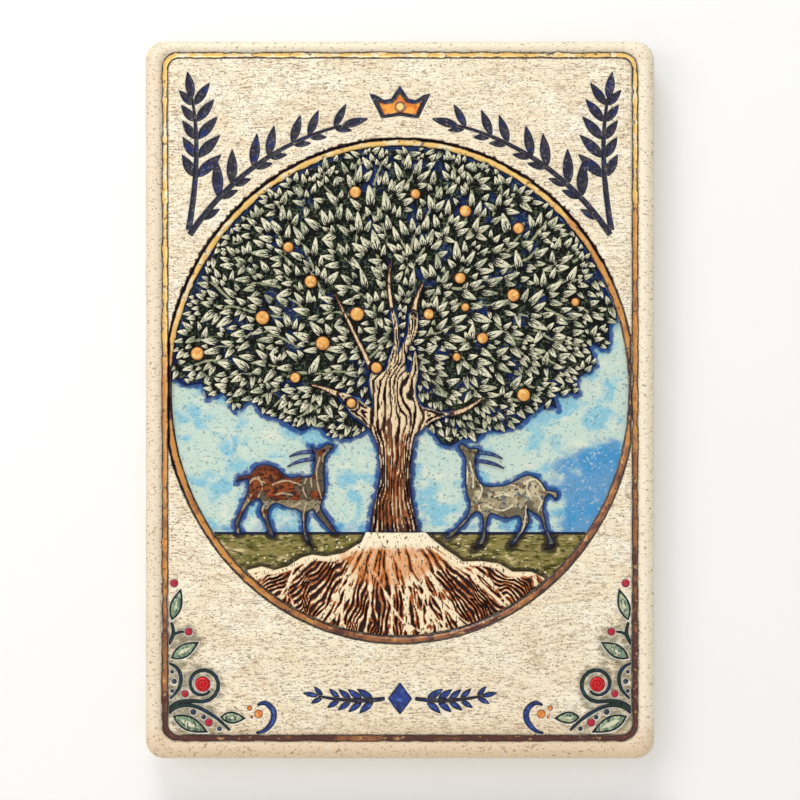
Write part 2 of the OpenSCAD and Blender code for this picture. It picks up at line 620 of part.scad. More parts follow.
module hanging_ring() color("#b08d4f") rotate([90, 0, 0]) translate([0, hinge_z, hinge_h]) {
    rotate([0, 90, 0]) cylinder(h = 2 * (ring_a - bend_r), r = wire_r, center = true);
    for (s = [0, 1]) mirror([s, 0, 0]) {
        translate([ring_a - bend_r, -bend_r, 0]) rotate_extrude(angle = 90)
            translate([bend_r, 0]) circle(wire_r);
        translate([ring_a, -bend_r, 0]) rotate([90, 0, 0]) cylinder(h = leg_drop - bend_r, r = wire_r);
    }
    translate([0, -leg_drop, 0]) rotate([0, 0, 180]) rotate_extrude(angle = 180)
        translate([ring_a, 0]) circle(wire_r);
}

slab();
frame_line();
medallion_line();
sky_slip();
grass_slip();
roots();
trunk();
bough_left();
bough_right();
bough_centre();
bough_upper();
bough_outer();
foliage();
leaves_left();
leaves_right();
leaves_top();
fruit();
deer_left();
deer_left_horns();
deer_right();
deer_right_horns();
crown_rim();
crown_fill();
crown_jewel();
sprig_left();
sprig_left_leaves();
sprig_right();
sprig_right_leaves();
foot_sprig();
foot_leaves();
foot_lozenge();
vine_left();
vine_left_leaves();
berries_left();
seeds_left();
rosette_left();
blossom_left();
tendril_left();
vine_right();
vine_right_leaves();
berries_right();
seeds_right();
rosette_right();
blossom_right();
tendril_right();
hanger_disc();
hanger_strap();
hanging_ring();
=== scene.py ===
"""Looks of a wall plaque of fired clay with a tree of life in relief.

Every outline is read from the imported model, in millimetres on the plaque's face (x to the
right, z up), and every height counts from the wall towards the viewer.
"""
import logging
import math
from dataclasses import dataclass, field
from enum import Enum
from typing import Callable, Iterable, Optional, Union

import bpy
import numpy as np
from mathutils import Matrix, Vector
from mathutils.geometry import delaunay_2d_cdt


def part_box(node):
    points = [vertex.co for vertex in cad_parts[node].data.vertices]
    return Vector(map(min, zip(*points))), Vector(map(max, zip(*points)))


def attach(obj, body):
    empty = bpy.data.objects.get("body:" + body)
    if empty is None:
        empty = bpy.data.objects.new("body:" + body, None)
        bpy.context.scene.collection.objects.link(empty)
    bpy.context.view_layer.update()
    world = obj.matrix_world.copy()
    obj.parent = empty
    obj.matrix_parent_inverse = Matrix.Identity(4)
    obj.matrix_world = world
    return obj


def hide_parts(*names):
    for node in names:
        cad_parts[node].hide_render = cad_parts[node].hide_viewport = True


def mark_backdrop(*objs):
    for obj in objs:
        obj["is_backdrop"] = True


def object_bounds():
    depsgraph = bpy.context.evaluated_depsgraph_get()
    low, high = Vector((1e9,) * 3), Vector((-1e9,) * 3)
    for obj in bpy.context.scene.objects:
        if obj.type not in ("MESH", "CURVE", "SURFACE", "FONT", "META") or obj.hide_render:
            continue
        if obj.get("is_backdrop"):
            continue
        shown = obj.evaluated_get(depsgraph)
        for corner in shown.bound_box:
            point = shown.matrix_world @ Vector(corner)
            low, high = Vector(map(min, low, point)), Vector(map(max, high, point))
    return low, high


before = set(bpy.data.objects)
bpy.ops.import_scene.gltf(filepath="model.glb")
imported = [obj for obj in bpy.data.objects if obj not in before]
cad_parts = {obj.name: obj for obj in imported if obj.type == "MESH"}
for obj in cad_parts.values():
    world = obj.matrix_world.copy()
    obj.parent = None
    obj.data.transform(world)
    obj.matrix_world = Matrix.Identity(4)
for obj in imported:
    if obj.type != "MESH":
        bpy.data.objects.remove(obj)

LOG = logging.getLogger("plaque")
MM = 0.001
Colour = tuple[float, float, float]
Array = np.ndarray
Rule = Callable[[Array, Array], Array]
Value = Union[float, bpy.types.NodeSocket]


# ---- Numbers and outlines ---------------------------------------------------------------

def ramp(value: Array, low: float, high: float) -> Array:
    """Rise smoothly from 0 where value is low to 1 where it is high.

    Args:
        value: Any numbers.
        low: Where the rise starts.
        high: Where it ends; it may be below low, for a fall.

    Returns:
        One number between 0 and 1 for each value.
    """
    t = np.clip((value - low) / (high - low), 0, 1)
    return t * t * (3 - 2 * t)


@dataclass(frozen=True)
class Grain:
    """Smooth noise on the plaque's face, the same on every run."""

    seed: int = 1
    cells: int = 256
    shift: float = 999.0

    def at(self, p: Array, size_x: float, size_z: float) -> Array:
        """Read the noise.

        Args:
            p: Points, one row each, in millimetres.
            size_x: Width of one blot.
            size_z: Height of one blot.

        Returns:
            One number between 0 and 1 for each point.
        """
        table = np.random.default_rng(self.seed).random((self.cells + 1, self.cells + 1))
        x, z = p[:, 0] / size_x + self.shift, p[:, 1] / size_z + self.shift
        i, j = np.floor(x).astype(int), np.floor(z).astype(int)
        u, v = x - i, z - j
        u, v = u * u * (3 - 2 * u), v * v * (3 - 2 * v)
        i, j = i % self.cells, j % self.cells
        return ((table[i, j] * (1 - u) + table[i + 1, j] * u) * (1 - v)
                + (table[i, j + 1] * (1 - u) + table[i + 1, j + 1] * u) * v)

    def cloud(self, p: Array, size: float, stretch: float = 1.0) -> Array:
        """Read three sizes of noise at once, each half of the one before.

        Args:
            p: Points, one row each.
            size: Width of the largest blots.
            stretch: Their height over their width.

        Returns:
            One number between 0 and 1 for each point.
        """
        parts = [Grain(self.seed + k).at(p, size / 2 ** k, size * stretch / 2 ** k) / 2 ** k
                 for k in range(3)]
        return sum(parts) / 1.75


def rim_edges(tris: Array) -> Array:
    """Edges that only one triangle has, as rows of two point numbers."""
    edges = np.concatenate([tris[:, [0, 1]], tris[:, [1, 2]], tris[:, [2, 0]]])
    _, where, count = np.unique(np.sort(edges, axis=1), axis=0, return_index=True,
                                return_counts=True)
    return edges[where[count == 1]]


@dataclass(frozen=True)
class Outline:
    """The edge of a flat shape, as many short lines from starts to ends."""

    starts: Array
    ends: Array

    @classmethod
    def of(cls, *nodes: str) -> "Outline":
        """Take the front edges of CAD nodes.

        Args:
            nodes: Names of nodes with a flat front.

        Returns:
            The edges of those fronts, in millimetres.
        """
        starts, ends = [], []
        for node in nodes:
            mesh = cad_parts[node].data
            mesh.calc_loop_triangles()
            co = np.array([v.co[:] for v in mesh.vertices]) / MM
            tri = np.array([t.vertices[:] for t in mesh.loop_triangles])
            a, b, c = co[tri[:, 0]], co[tri[:, 1]], co[tri[:, 2]]
            turn = np.cross(b - a, c - a)
            facing = -turn[:, 1] > 0.9 * np.linalg.norm(turn, axis=1)
            front = facing & (co[tri][:, :, 1].max(1) < co[:, 1].min() + 0.02)
            place = np.round(co * 1000).astype(np.int64)
            _, same = np.unique(place, axis=0, return_inverse=True)
            same = same.reshape(-1)
            tri = same[tri[front]]
            first = np.zeros((same.max() + 1, 3))
            first[same] = co
            rim = rim_edges(tri)
            starts.append(first[rim[:, 0]][:, [0, 2]])
            ends.append(first[rim[:, 1]][:, [0, 2]])
        return cls(np.concatenate(starts), np.concatenate(ends))

    @classmethod
    def line(cls, points: Iterable[Iterable[float]]) -> "Outline":
        """Make an open line from its points."""
        p = np.array(list(points), float)
        return cls(p[:-1], p[1:])

    def joined(self, other: "Outline") -> "Outline":
        """Put two sets of lines together."""
        return Outline(np.concatenate([self.starts, other.starts]),
                       np.concatenate([self.ends, other.ends]))

    def box(self, margin: float = 0.0) -> tuple[Array, Array]:
        """Lowest and highest corner of the lines, moved outwards by a margin."""
        both = np.concatenate([self.starts, self.ends])
        return both.min(0) - margin, both.max(0) + margin

    def distance(self, p: Array) -> Array:
        """Distance of each point from the nearest line."""
        out = np.empty(len(p))
        d = self.ends - self.starts
        length2 = np.maximum((d * d).sum(1), 1e-12)
        step = max(1, 3_000_000 // len(d))
        for k in range(0, len(p), step):
            w = p[k:k + step, None] - self.starts
            t = np.clip((w * d).sum(2) / length2, 0, 1)
            w -= t[..., None] * d
            out[k:k + step] = np.sqrt((w * w).sum(2).min(1))
        return out

    def inside(self, p: Array) -> Array:
        """Whether each point lies inside the shape."""
        out = np.zeros(len(p), bool)
        a, b = self.starts, self.ends
        run = np.where(b[:, 1] == a[:, 1], 1, b[:, 1] - a[:, 1])
        slope = (b[:, 0] - a[:, 0]) / run
        step = max(1, 6_000_000 // len(a))
        for k in range(0, len(p), step):
            x, z = p[k:k + step, None, 0], p[k:k + step, None, 1]
            cross = ((a[:, 1] > z) != (b[:, 1] > z)) & (x < slope * (z - a[:, 1]) + a[:, 0])
            out[k:k + step] = cross.sum(1) % 2 == 1
        return out

    def depth(self, p: Array) -> Array:
        """Distance from the edge, above 0 inside the shape and below 0 outside it."""
        return np.where(self.inside(p), 1, -1) * self.distance(p)

    def rows(self, offsets: Iterable[float], spacing: float) -> Array:
        """Points in rows along the lines.

        Args:
            offsets: How far each row lies to the right of the lines.
            spacing: Largest distance between two points of a row.

        Returns:
            The points of all rows.
        """
        d = self.ends - self.starts
        length = np.linalg.norm(d, axis=1)
        count = np.maximum(np.ceil(length / spacing).astype(int), 1)
        index = np.repeat(np.arange(len(d)), count)
        first = np.repeat(np.cumsum(count) - count, count)
        t = (np.arange(len(index)) - first + 0.5) / count[index]
        along = self.starts[index] + d[index] * t[:, None]
        side = np.stack([d[:, 1], -d[:, 0]], 1)[index] / np.maximum(length, 1e-9)[index, None]
        return np.concatenate([along + side * k for k in offsets])


def bent(*points: tuple[float, float], n: int = 12) -> list[tuple[float, float]]:
    """A rounded open line through a few points.

    Args:
        points: The points, in order.
        n: How many points the line gets between two of them.

    Returns:
        The line's points.
    """
    out = []
    for i in range(len(points) - 1):
        a, b = points[max(i - 1, 0)], points[i]
        c, d = points[i + 1], points[min(i + 2, len(points) - 1)]
        for t in (k / n for k in range(n)):
            out.append(tuple(0.5 * (2 * b[j] + (c[j] - a[j]) * t
                                    + (2 * a[j] - 5 * b[j] + 4 * c[j] - d[j]) * t * t
                                    + (3 * b[j] - a[j] - 3 * c[j] + d[j]) * t ** 3)
                             for j in (0, 1)))
    return out + [points[-1]]


# ---- Meshes -----------------------------------------------------------------------------

def add_object(name: str, data: bpy.types.ID) -> bpy.types.Object:
    """Put new data into the scene as an object."""
    made = bpy.data.objects.new(name, data)
    bpy.context.scene.collection.objects.link(made)
    return made


def make_object(name: str, verts: Array, tris: Array,
                masks: Optional[dict[str, Array]] = None) -> bpy.types.Object:
    """Make an object from points and triangles, and smooth its shading.

    Args:
        name: Name of the piece.
        verts: Points in metres.
        tris: Rows of three point numbers.
        masks: Named values, one for each point, that its material reads.

    Returns:
        The new object, in the scene.
    """
    mesh = bpy.data.meshes.new(name)
    mesh.vertices.add(len(verts))
    mesh.vertices.foreach_set("co", np.asarray(verts, np.float32).ravel())
    mesh.loops.add(3 * len(tris))
    mesh.loops.foreach_set("vertex_index", np.asarray(tris, np.int32).ravel())
    mesh.polygons.add(len(tris))
    mesh.polygons.foreach_set("loop_start", np.arange(len(tris), dtype=np.int32) * 3)
    mesh.polygons.foreach_set("use_smooth", np.ones(len(tris), bool))
    mesh.update(calc_edges=True)
    for key, value in (masks or {}).items():
        mesh.attributes.new(key, "FLOAT", "POINT").data.foreach_set(
            "value", np.asarray(value, np.float32))
    mesh.validate()
    mesh.set_sharp_from_angle(angle=math.radians(55))
    return add_object(name, mesh)


def closed(top: Array, tris: Array, low: float,
           masks: dict[str, Array]) -> tuple[Array, Array, dict[str, Array]]:
    """Give a surface walls and a flat back.

    Args:
        top: Points as x, z and height, in millimetres.
        tris: The surface's triangles, anticlockwise seen from the front.
        low: Height of the back.
        masks: Values for the points.

    Returns:
        Points in metres, triangles and values of the closed body.
    """
    rim = rim_edges(tris)
    n = len(top)
    a, b = rim[:, 0], rim[:, 1]
    walls = np.concatenate([np.stack([a, a + n, b], 1), np.stack([b, a + n, b + n], 1)])
    back = top.copy()
    back[:, 2] = low
    every = np.concatenate([top, back])
    verts = np.stack([every[:, 0], -every[:, 2], every[:, 1]], 1) * MM
    faces = np.concatenate([tris, tris[:, ::-1] + n, walls])
    return verts, faces, {k: np.concatenate([v, v]) for k, v in masks.items()}


def contour(p: Array, tris: Array, depth: Array) -> tuple[Array, Array, Array]:
    """Cut a triangle net off where the depth falls below 0.

    Args:
        p: Points of the net.
        tris: Its triangles.
        depth: Depth of each point.

    Returns:
        Points and triangles of what is left, and the depth at its points.
    """
    kept = depth > 0
    number = kept[tris].sum(1)
    whole = tris[number == 3]

    def turned(rows: Array, odd: Array) -> Array:
        """Turn each triangle so that its odd corner comes first."""
        first = odd.argmax(1)
        order = (first[:, None] + np.arange(3)) % 3
        return np.take_along_axis(rows, order, 1)

    one = turned(tris[number == 1], kept[tris[number == 1]])
    two = turned(tris[number == 2], ~kept[tris[number == 2]])
    cuts = np.concatenate([one[:, [0, 1]], one[:, [0, 2]], two[:, [0, 1]], two[:, [0, 2]]])
    pairs, index = np.unique(np.sort(cuts, axis=1), axis=0, return_inverse=True)
    index = index.reshape(-1) + len(p)
    da, db = depth[pairs[:, 0]], depth[pairs[:, 1]]
    t = np.clip(da / (da - db), 0.08, 0.92)[:, None]
    points = np.concatenate([p, p[pairs[:, 0]] * (1 - t) + p[pairs[:, 1]] * t])
    m, k = len(one), len(two)
    one_ab, one_ac = index[:m], index[m:2 * m]
    two_ab, two_ac = index[2 * m:2 * m + k], index[2 * m + k:]
    net = np.concatenate([whole, np.stack([one[:, 0], one_ab, one_ac], 1),
                          np.stack([two_ab, two[:, 1], two[:, 2]], 1),
                          np.stack([two_ab, two[:, 2], two_ac], 1)])
    used, net = np.unique(net, return_inverse=True)
    depths = np.concatenate([depth, np.zeros(len(pairs))])
    return points[used], net.reshape(-1, 3), depths[used]


@dataclass(frozen=True)
class Relief:
    """A raised shape: an outline, the height of its back and the size of its net."""

    outline: Outline
    low: float
    cell: float = 0.4
    waver: float = 0.0
    grow: float = 0.0

    def build(self, name: str, height: Rule, masks: dict[str, Rule]) -> bpy.types.Object:
        """Make the shape's mesh.

        Args:
            name: Name of the piece.
            height: Gives the height at points of a given depth inside the outline.
            masks: Gives the values that the material reads, each in the same way.

        Returns:
            The piece.
        """
        low, high = self.outline.box(self.cell * 0.7 + self.grow)
        nx, nz = np.ceil((high - low) / self.cell).astype(int) + 1
        gx, gz = np.meshgrid(np.arange(nx), np.arange(nz), indexing="ij")
        p = np.stack([gx, gz], 2).reshape(-1, 2) * self.cell + low
        i = (gx[:-1, :-1] * nz + gz[:-1, :-1]).ravel()
        odd = ((gx[:-1, :-1] + gz[:-1, :-1]) % 2 == 1).ravel()
        a, b, c, d = i, i + nz, i + nz + 1, i + 1
        tris = np.concatenate([np.stack([a, b, np.where(odd, c, d)], 1),
                               np.stack([np.where(odd, a, b), c, d], 1)])
        depth = self.outline.depth(p) + self.grow - self.waver * Grain(5).at(p, 2.3, 2.3)
        p, tris, depth = contour(p, tris, depth)
        depth = np.maximum(depth, 0)
        top = np.column_stack([p, np.maximum(height(p, depth), self.low + 0.02)])
        return make_object(name, *closed(top, tris, self.low,
                                         {k: rule(p, depth) for k, rule in masks.items()}))


def dome(low: float, high: float, round_off: float) -> Rule:
    """Height rule of a shape whose upper edge is rounded.

    Args:
        low: Height at its edge.
        high: Height in its middle.
        round_off: How far in from the edge the rounding ends.

    Returns:
        The rule.
    """
    def height(p: Array, depth: Array) -> Array:
        """Height at points of that depth."""
        t = np.clip(1 - depth / round_off, 0, 1)
        return low + (high - low) * np.sqrt(1 - t * t)
    return height


def edge_mask(width: float) -> Rule:
    """Mask rule that is 1 at the edge and 0 further in than a width."""
    return lambda p, depth: ramp(depth, width, 0)


def heights(node: str) -> tuple[float, float]:
    """Heights of a CAD node's back and front above the wall, in millimetres."""
    low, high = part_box(node)
    return -high.y / MM, -low.y / MM


# ---- Finishes ---------------------------------------------------------------------------

def tint(colour: Colour) -> tuple[float, float, float, float]:
    """Turn a colour of 0 to 255 as the eye sees it into Blender's own scale."""
    return tuple((c / 255 / 12.92) if c < 10.3 else ((c / 255 + 0.055) / 1.055) ** 2.4
                 for c in colour) + (1.0,)


class Pattern(Enum):
    """Node groups that more than one finish uses."""

    BLOTS = "Brushed blots"
    SPECKS = "Kiln specks"
    WORN = "Worn edge of a mask"
    GRIT = "Grit"
    FORK = "Forked notch of a leaf"


@dataclass
class Net:
    """A node tree that is being wired."""

    tree: bpy.types.NodeTree

    def add(self, kind: str, settings: Optional[dict] = None, **inputs: object) -> bpy.types.Node:
        """Place a node.

        Args:
            kind: The node's type.
            settings: Its own settings.
            inputs: Values or sockets for its inputs, by the input's name with _ for a space,
                or i0, i1 ... by place.

        Returns:
            The node.
        """
        node = self.tree.nodes.new(kind)
        for key, value in (settings or {}).items():
            setattr(node, key, value)
        for key, value in inputs.items():
            numbered = key[0] == "i" and key[1:].isdigit()
            socket = node.inputs[int(key[1:]) if numbered else key.replace("_", " ")]
            if isinstance(value, bpy.types.NodeSocket):
                self.tree.links.new(value, socket)
            else:
                socket.default_value = value
        return node

    def math(self, operation: str, *values: Value) -> bpy.types.NodeSocket:
        """Place a Math node and return its result."""
        inputs = {f"i{k}": value for k, value in enumerate(values)}
        return self.add("ShaderNodeMath", {"operation": operation}, **inputs).outputs[0]

    def scaled(self, given: bpy.types.Node) -> bpy.types.NodeSocket:
        """Multiply a group's inputs Place and Frequency."""
        return self.add("ShaderNodeVectorMath", {"operation": "MULTIPLY"},
                        i0=given.outputs["Place"], i1=given.outputs["Frequency"]).outputs[0]

    def smooth(self, value: Value, low: Value, high: Value) -> bpy.types.NodeSocket:
        """Place a smooth rise from 0 at low to 1 at high."""
        return self.add("ShaderNodeMapRange", {"interpolation_type": "SMOOTHSTEP"}, i0=value,
                        i1=low, i2=high).outputs[0]

    def group(self, pattern: Pattern, **inputs: object) -> bpy.types.NodeSocket:
        """Place a shared node group and return its result."""
        return self.add("ShaderNodeGroup", {"node_tree": bpy.data.node_groups[pattern.value]},
                        **inputs).outputs[0]

    def value(self, name: str) -> bpy.types.NodeSocket:
        """The piece's own value of that name."""
        return self.add("ShaderNodeAttribute", {"attribute_name": name}).outputs["Fac"]


def new_group(pattern: Pattern, inputs: dict[str, tuple[str, float]],
              output: str) -> tuple[Net, bpy.types.Node, bpy.types.Node]:
    """Start a shader node group.

    Args:
        pattern: Which group it is.
        inputs: Type and value of each input, by name.
        output: Name of its one result, which is a number.

    Returns:
        Its net, its input node and its output node.
    """
    tree = bpy.data.node_groups.new(pattern.value, "ShaderNodeTree")
    for name, (kind, value) in inputs.items():
        socket = tree.interface.new_socket(name, in_out="INPUT", socket_type=kind)
        if kind == "NodeSocketFloat":
            socket.default_value = value
    tree.interface.new_socket(output, in_out="OUTPUT", socket_type="NodeSocketFloat")
    net = Net(tree)
    return net, net.add("NodeGroupInput"), net.add("NodeGroupOutput")


def build_patterns() -> None:
    """Make the shared node groups, once."""
    number, place = ("NodeSocketFloat", 0.0), ("NodeSocketVector", 0.0)
    net, given, out = new_group(Pattern.BLOTS, {
        "Place": place, "Frequency": place, "Detail": ("NodeSocketFloat", 3.0),
        "Low": number, "High": ("NodeSocketFloat", 1.0)}, "Mask")
    noise = net.add("ShaderNodeTexNoise", Vector=net.scaled(given), Scale=1.0,
                    Detail=given.outputs["Detail"], Distortion=0.3).outputs[0]
    net.tree.links.new(net.smooth(noise, given.outputs["Low"], given.outputs["High"]),
                       out.inputs[0])

    net, given, out = new_group(Pattern.SPECKS, {
        "Place": place, "Frequency": place, "Share": ("NodeSocketFloat", 0.3),
        "Size": ("NodeSocketFloat", 0.3)}, "Mask")
    cells = net.add("ShaderNodeTexVoronoi", Vector=net.scaled(given), Scale=1.0)
    chance = net.add("ShaderNodeSeparateColor", i0=cells.outputs["Color"]).outputs
    radius = net.math("MULTIPLY", given.outputs["Size"], chance[1])
    near = net.smooth(cells.outputs["Distance"], radius, net.math("MULTIPLY", radius, 0.55))
    net.tree.links.new(net.math("MULTIPLY", near, net.math(
        "LESS_THAN", chance[0], given.outputs["Share"])), out.inputs[0])

    net, given, out = new_group(Pattern.WORN, {
        "Value": number, "Place": place, "Frequency": place, "Break": ("NodeSocketFloat", 0.3),
        "Low": number, "High": ("NodeSocketFloat", 1.0)}, "Mask")
    noise = net.add("ShaderNodeTexNoise", Vector=net.scaled(given), Scale=1.0,
                    Detail=3.0).outputs[0]
    shift = net.math("MULTIPLY", net.math("SUBTRACT", noise, 0.5), given.outputs["Break"])
    value = net.math("ADD", given.outputs["Value"], shift)
    net.tree.links.new(net.smooth(value, given.outputs["Low"], given.outputs["High"]),
                       out.inputs[0])

    net, given, out = new_group(Pattern.GRIT, {
        "Place": place, "Frequency": ("NodeSocketFloat", 1500.0)}, "Height")
    fine = net.add("ShaderNodeTexNoise", Vector=given.outputs["Place"],
                   Scale=given.outputs["Frequency"], Detail=4.0).outputs[0]
    broad = net.add("ShaderNodeTexNoise", Vector=given.outputs["Place"],
                    Scale=net.math("MULTIPLY", given.outputs["Frequency"], 0.22),
                    Detail=2.0).outputs[0]
    net.tree.links.new(net.math("ADD", net.math("MULTIPLY", fine, 0.5), broad), out.inputs[0])

    net, given, out = new_group(Pattern.FORK, {"Across": number, "Along": number}, "Mask")
    across = net.math("ABSOLUTE", given.outputs["Across"])
    along = given.outputs["Along"]
    middle = net.math("MULTIPLY", net.smooth(across, 0.2, 0.06), net.smooth(along, 0.66, 0.5))
    prong = net.math("ABSOLUTE", net.math("SUBTRACT", across, net.math("MULTIPLY", along, 1.5)))
    side = net.math("MULTIPLY", net.smooth(prong, 0.2, 0.08), net.smooth(along, 0.46, 0.34))
    foot = net.smooth(along, 0.2, 0.08)
    net.tree.links.new(net.math("MAXIMUM", foot, net.math("MAXIMUM", middle, side)),
                       out.inputs[0])


class Source(Enum):
    """What a coat of colour covers."""

    MASK = "the piece's own values"
    CLOUD = "soft blots"
    SPECK = "small dots"
    FORK = "the notch of a leaf"


@dataclass(frozen=True)
class Coat:
    """One layer of colour: where it lies and how strong it is."""

    colour: Colour
    source: Source = Source.CLOUD
    mask: str = ""
    size: tuple[float, float] = (4.0, 4.0)
    low: float = 0.45
    high: float = 0.6
    strength: float = 1.0
    within: str = ""
    uneven: float = 0.3

    def cover(self, net: Net, place: bpy.types.NodeSocket) -> bpy.types.NodeSocket:
        """Wire the coat's mask.

        Args:
            net: The material's net.
            place: Object coordinates.

        Returns:
            A number from 0, bare, to 1, covered.
        """
        often = (1000 / self.size[0], 1000 / self.size[0], 1000 / self.size[1])
        if self.source is Source.CLOUD:
            cover = net.group(Pattern.BLOTS, Place=place, Frequency=often, Low=self.low,
                              High=self.high)
        elif self.source is Source.SPECK:
            cover = net.group(Pattern.SPECKS, Place=place, Frequency=often, Share=self.low,
                              Size=self.high)
        elif self.source is Source.FORK:
            cover = net.group(Pattern.FORK, Across=net.value("across"), Along=net.value("along"))
        else:
            cover = net.group(Pattern.WORN, Place=place, Value=net.value(self.mask),
                              Frequency=often, Low=self.low, High=self.high, Break=self.uneven)
        if self.within:
            cover = net.math("MULTIPLY", cover, net.value(self.within))
        return net.math("MULTIPLY", cover, self.strength)


@dataclass(frozen=True)
class Finish:
    """A fired or metal surface: its ground colour, its coats and how it shines."""

    name: str
    ground: Colour
    coats: tuple[Coat, ...] = ()
    rough: tuple[float, float] = (0.45, 0.6)
    gloss: float = 0.0
    shine: float = 0.12
    metallic: float = 0.0
    grit: float = 0.25
    grit_size: float = 0.7

    def build(self) -> bpy.types.Material:
        """Make the material, or return it if it is made."""
        name = f"fired_{self.name}"
        if name in bpy.data.materials:
            return bpy.data.materials[name]
        material = bpy.data.materials.new(name)
        material.use_nodes = True
        net = Net(material.node_tree)
        shader = material.node_tree.nodes["Principled BSDF"]
        place = net.add("ShaderNodeTexCoord").outputs["Object"]
        colour = tint(self.ground)
        for coat in self.coats:
            colour = net.add("ShaderNodeMix", {"data_type": "RGBA"}, i0=coat.cover(net, place),
                             i6=colour, i7=tint(coat.colour)).outputs[2]
        if isinstance(colour, tuple):
            shader.inputs["Base Color"].default_value = colour
        else:
            net.tree.links.new(colour, shader.inputs["Base Color"])
        cloud = net.group(Pattern.BLOTS, Place=place, Frequency=(450.0,) * 3, Low=0.3, High=0.7)
        rough = net.add("ShaderNodeMapRange", i0=cloud, i1=0.0, i2=1.0, i3=self.rough[0],
                        i4=self.rough[1]).outputs[0]
        net.tree.links.new(rough, shader.inputs["Roughness"])
        shader.inputs["Metallic"].default_value = self.metallic
        shader.inputs["Coat Weight"].default_value = self.gloss
        shader.inputs["Specular IOR Level"].default_value = self.shine
        shader.inputs["Coat Roughness"].default_value = 0.25
        height = net.group(Pattern.GRIT, Place=place, Frequency=1000 / self.grit_size)
        bump = net.add("ShaderNodeBump", Strength=self.grit, Distance=0.0002,
                       Height=height).outputs[0]
        net.tree.links.new(bump, shader.inputs["Normal"])
        return material


def dress(piece: bpy.types.Object, finish: Finish, body: str, slot: str, *nodes: str) -> None:
    """Give a piece its finish and fasten it to the frame.

    Args:
        piece: The piece.
        finish: Its finish.
        body: The CAD body that it rides on.
        slot: The record's material slot; not used.
        nodes: The CAD nodes that it stands for.
    """
    piece.data.materials.clear()
    piece.data.materials.append(finish.build())
    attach(piece, body)
    if nodes:
        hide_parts(*nodes)
    piece.data.calc_loop_triangles()
    LOG.info("%s: %d triangles", piece.name, len(piece.data.loop_triangles))


# ---- Slab -------------------------------------------------------------------------------

CREAM = (246, 231, 203)
STROKES = tuple(f"{part}_{side}" for side in ("left", "right") for part in (
    "sprig", "vine", "berries", "seeds", "rosette", "blossom", "tendril"))
STROKES += tuple(f"{part}_{side}_leaves" for side in ("left", "right")
                 for part in ("sprig", "vine"))
STROKES += ("crown_rim", "crown_fill", "crown_jewel", "foot_sprig", "foot_leaves", "foot_lozenge")

FIELD_CLAY = Finish("field_clay", (252, 238, 208), coats=(
    Coat((255, 248, 226), size=(16, 8), low=0.45, high=0.62, strength=0.85),
    Coat((240, 218, 184), size=(10, 6), low=0.54, high=0.68, strength=0.7, within="brushed"),
    Coat((248, 234, 208), Source.MASK, "rim", (9, 9), 0.1, 0.9, strength=0.85),
    # Painted shade: the clay darker and browner towards the left edge and the foot.
    Coat((226, 198, 164), Source.MASK, "painted_shade_left_foot", (12, 12), 0.25, 0.95, strength=0.75),
    Coat((206, 178, 142), size=(3.2, 0.5), low=0.52, high=0.62, strength=0.65, within="brushed"),
    Coat((118, 90, 70), size=(1.7, 0.34), low=0.585, high=0.65, strength=0.85, within="brushed"),
    Coat((84, 62, 50), size=(0.9, 0.36), low=0.61, high=0.66, strength=0.85, within="brushed"),
    Coat((166, 138, 110), size=(1.1, 0.5), low=0.62, high=0.68, strength=0.7),
    Coat((138, 108, 80), Source.SPECK, size=(0.9, 0.7), low=0.46, high=0.4, strength=0.75),
    Coat((86, 62, 50), Source.SPECK, size=(1.5, 1.1), low=0.38, high=0.28, strength=0.8),
    Coat((128, 96, 66), size=(1.6, 0.8), low=0.62, high=0.68, strength=0.6),
    Coat((96, 92, 62), Source.MASK, "smudge", (2.6, 1.5), 0.45, 1.05, strength=0.75,
         uneven=1.3),
    # Near-white band on the slopes round the cut strokes: a painted highlight where their walls
    # catch the light.
    Coat((255, 252, 244), Source.MASK, "cut", (2, 2), 0.1, 0.5, strength=0.6, uneven=1.2),
    # Dark brown line just outside the medallion ring, strongest at the upper left: a painted
    # shadow.
    Coat((50, 32, 30), Source.MASK, "line", (2.2, 2.2), 0.35, 0.75, uneven=0.8)),
    rough=(0.3, 0.48), gloss=0.14, grit=0.6, grit_size=0.9)


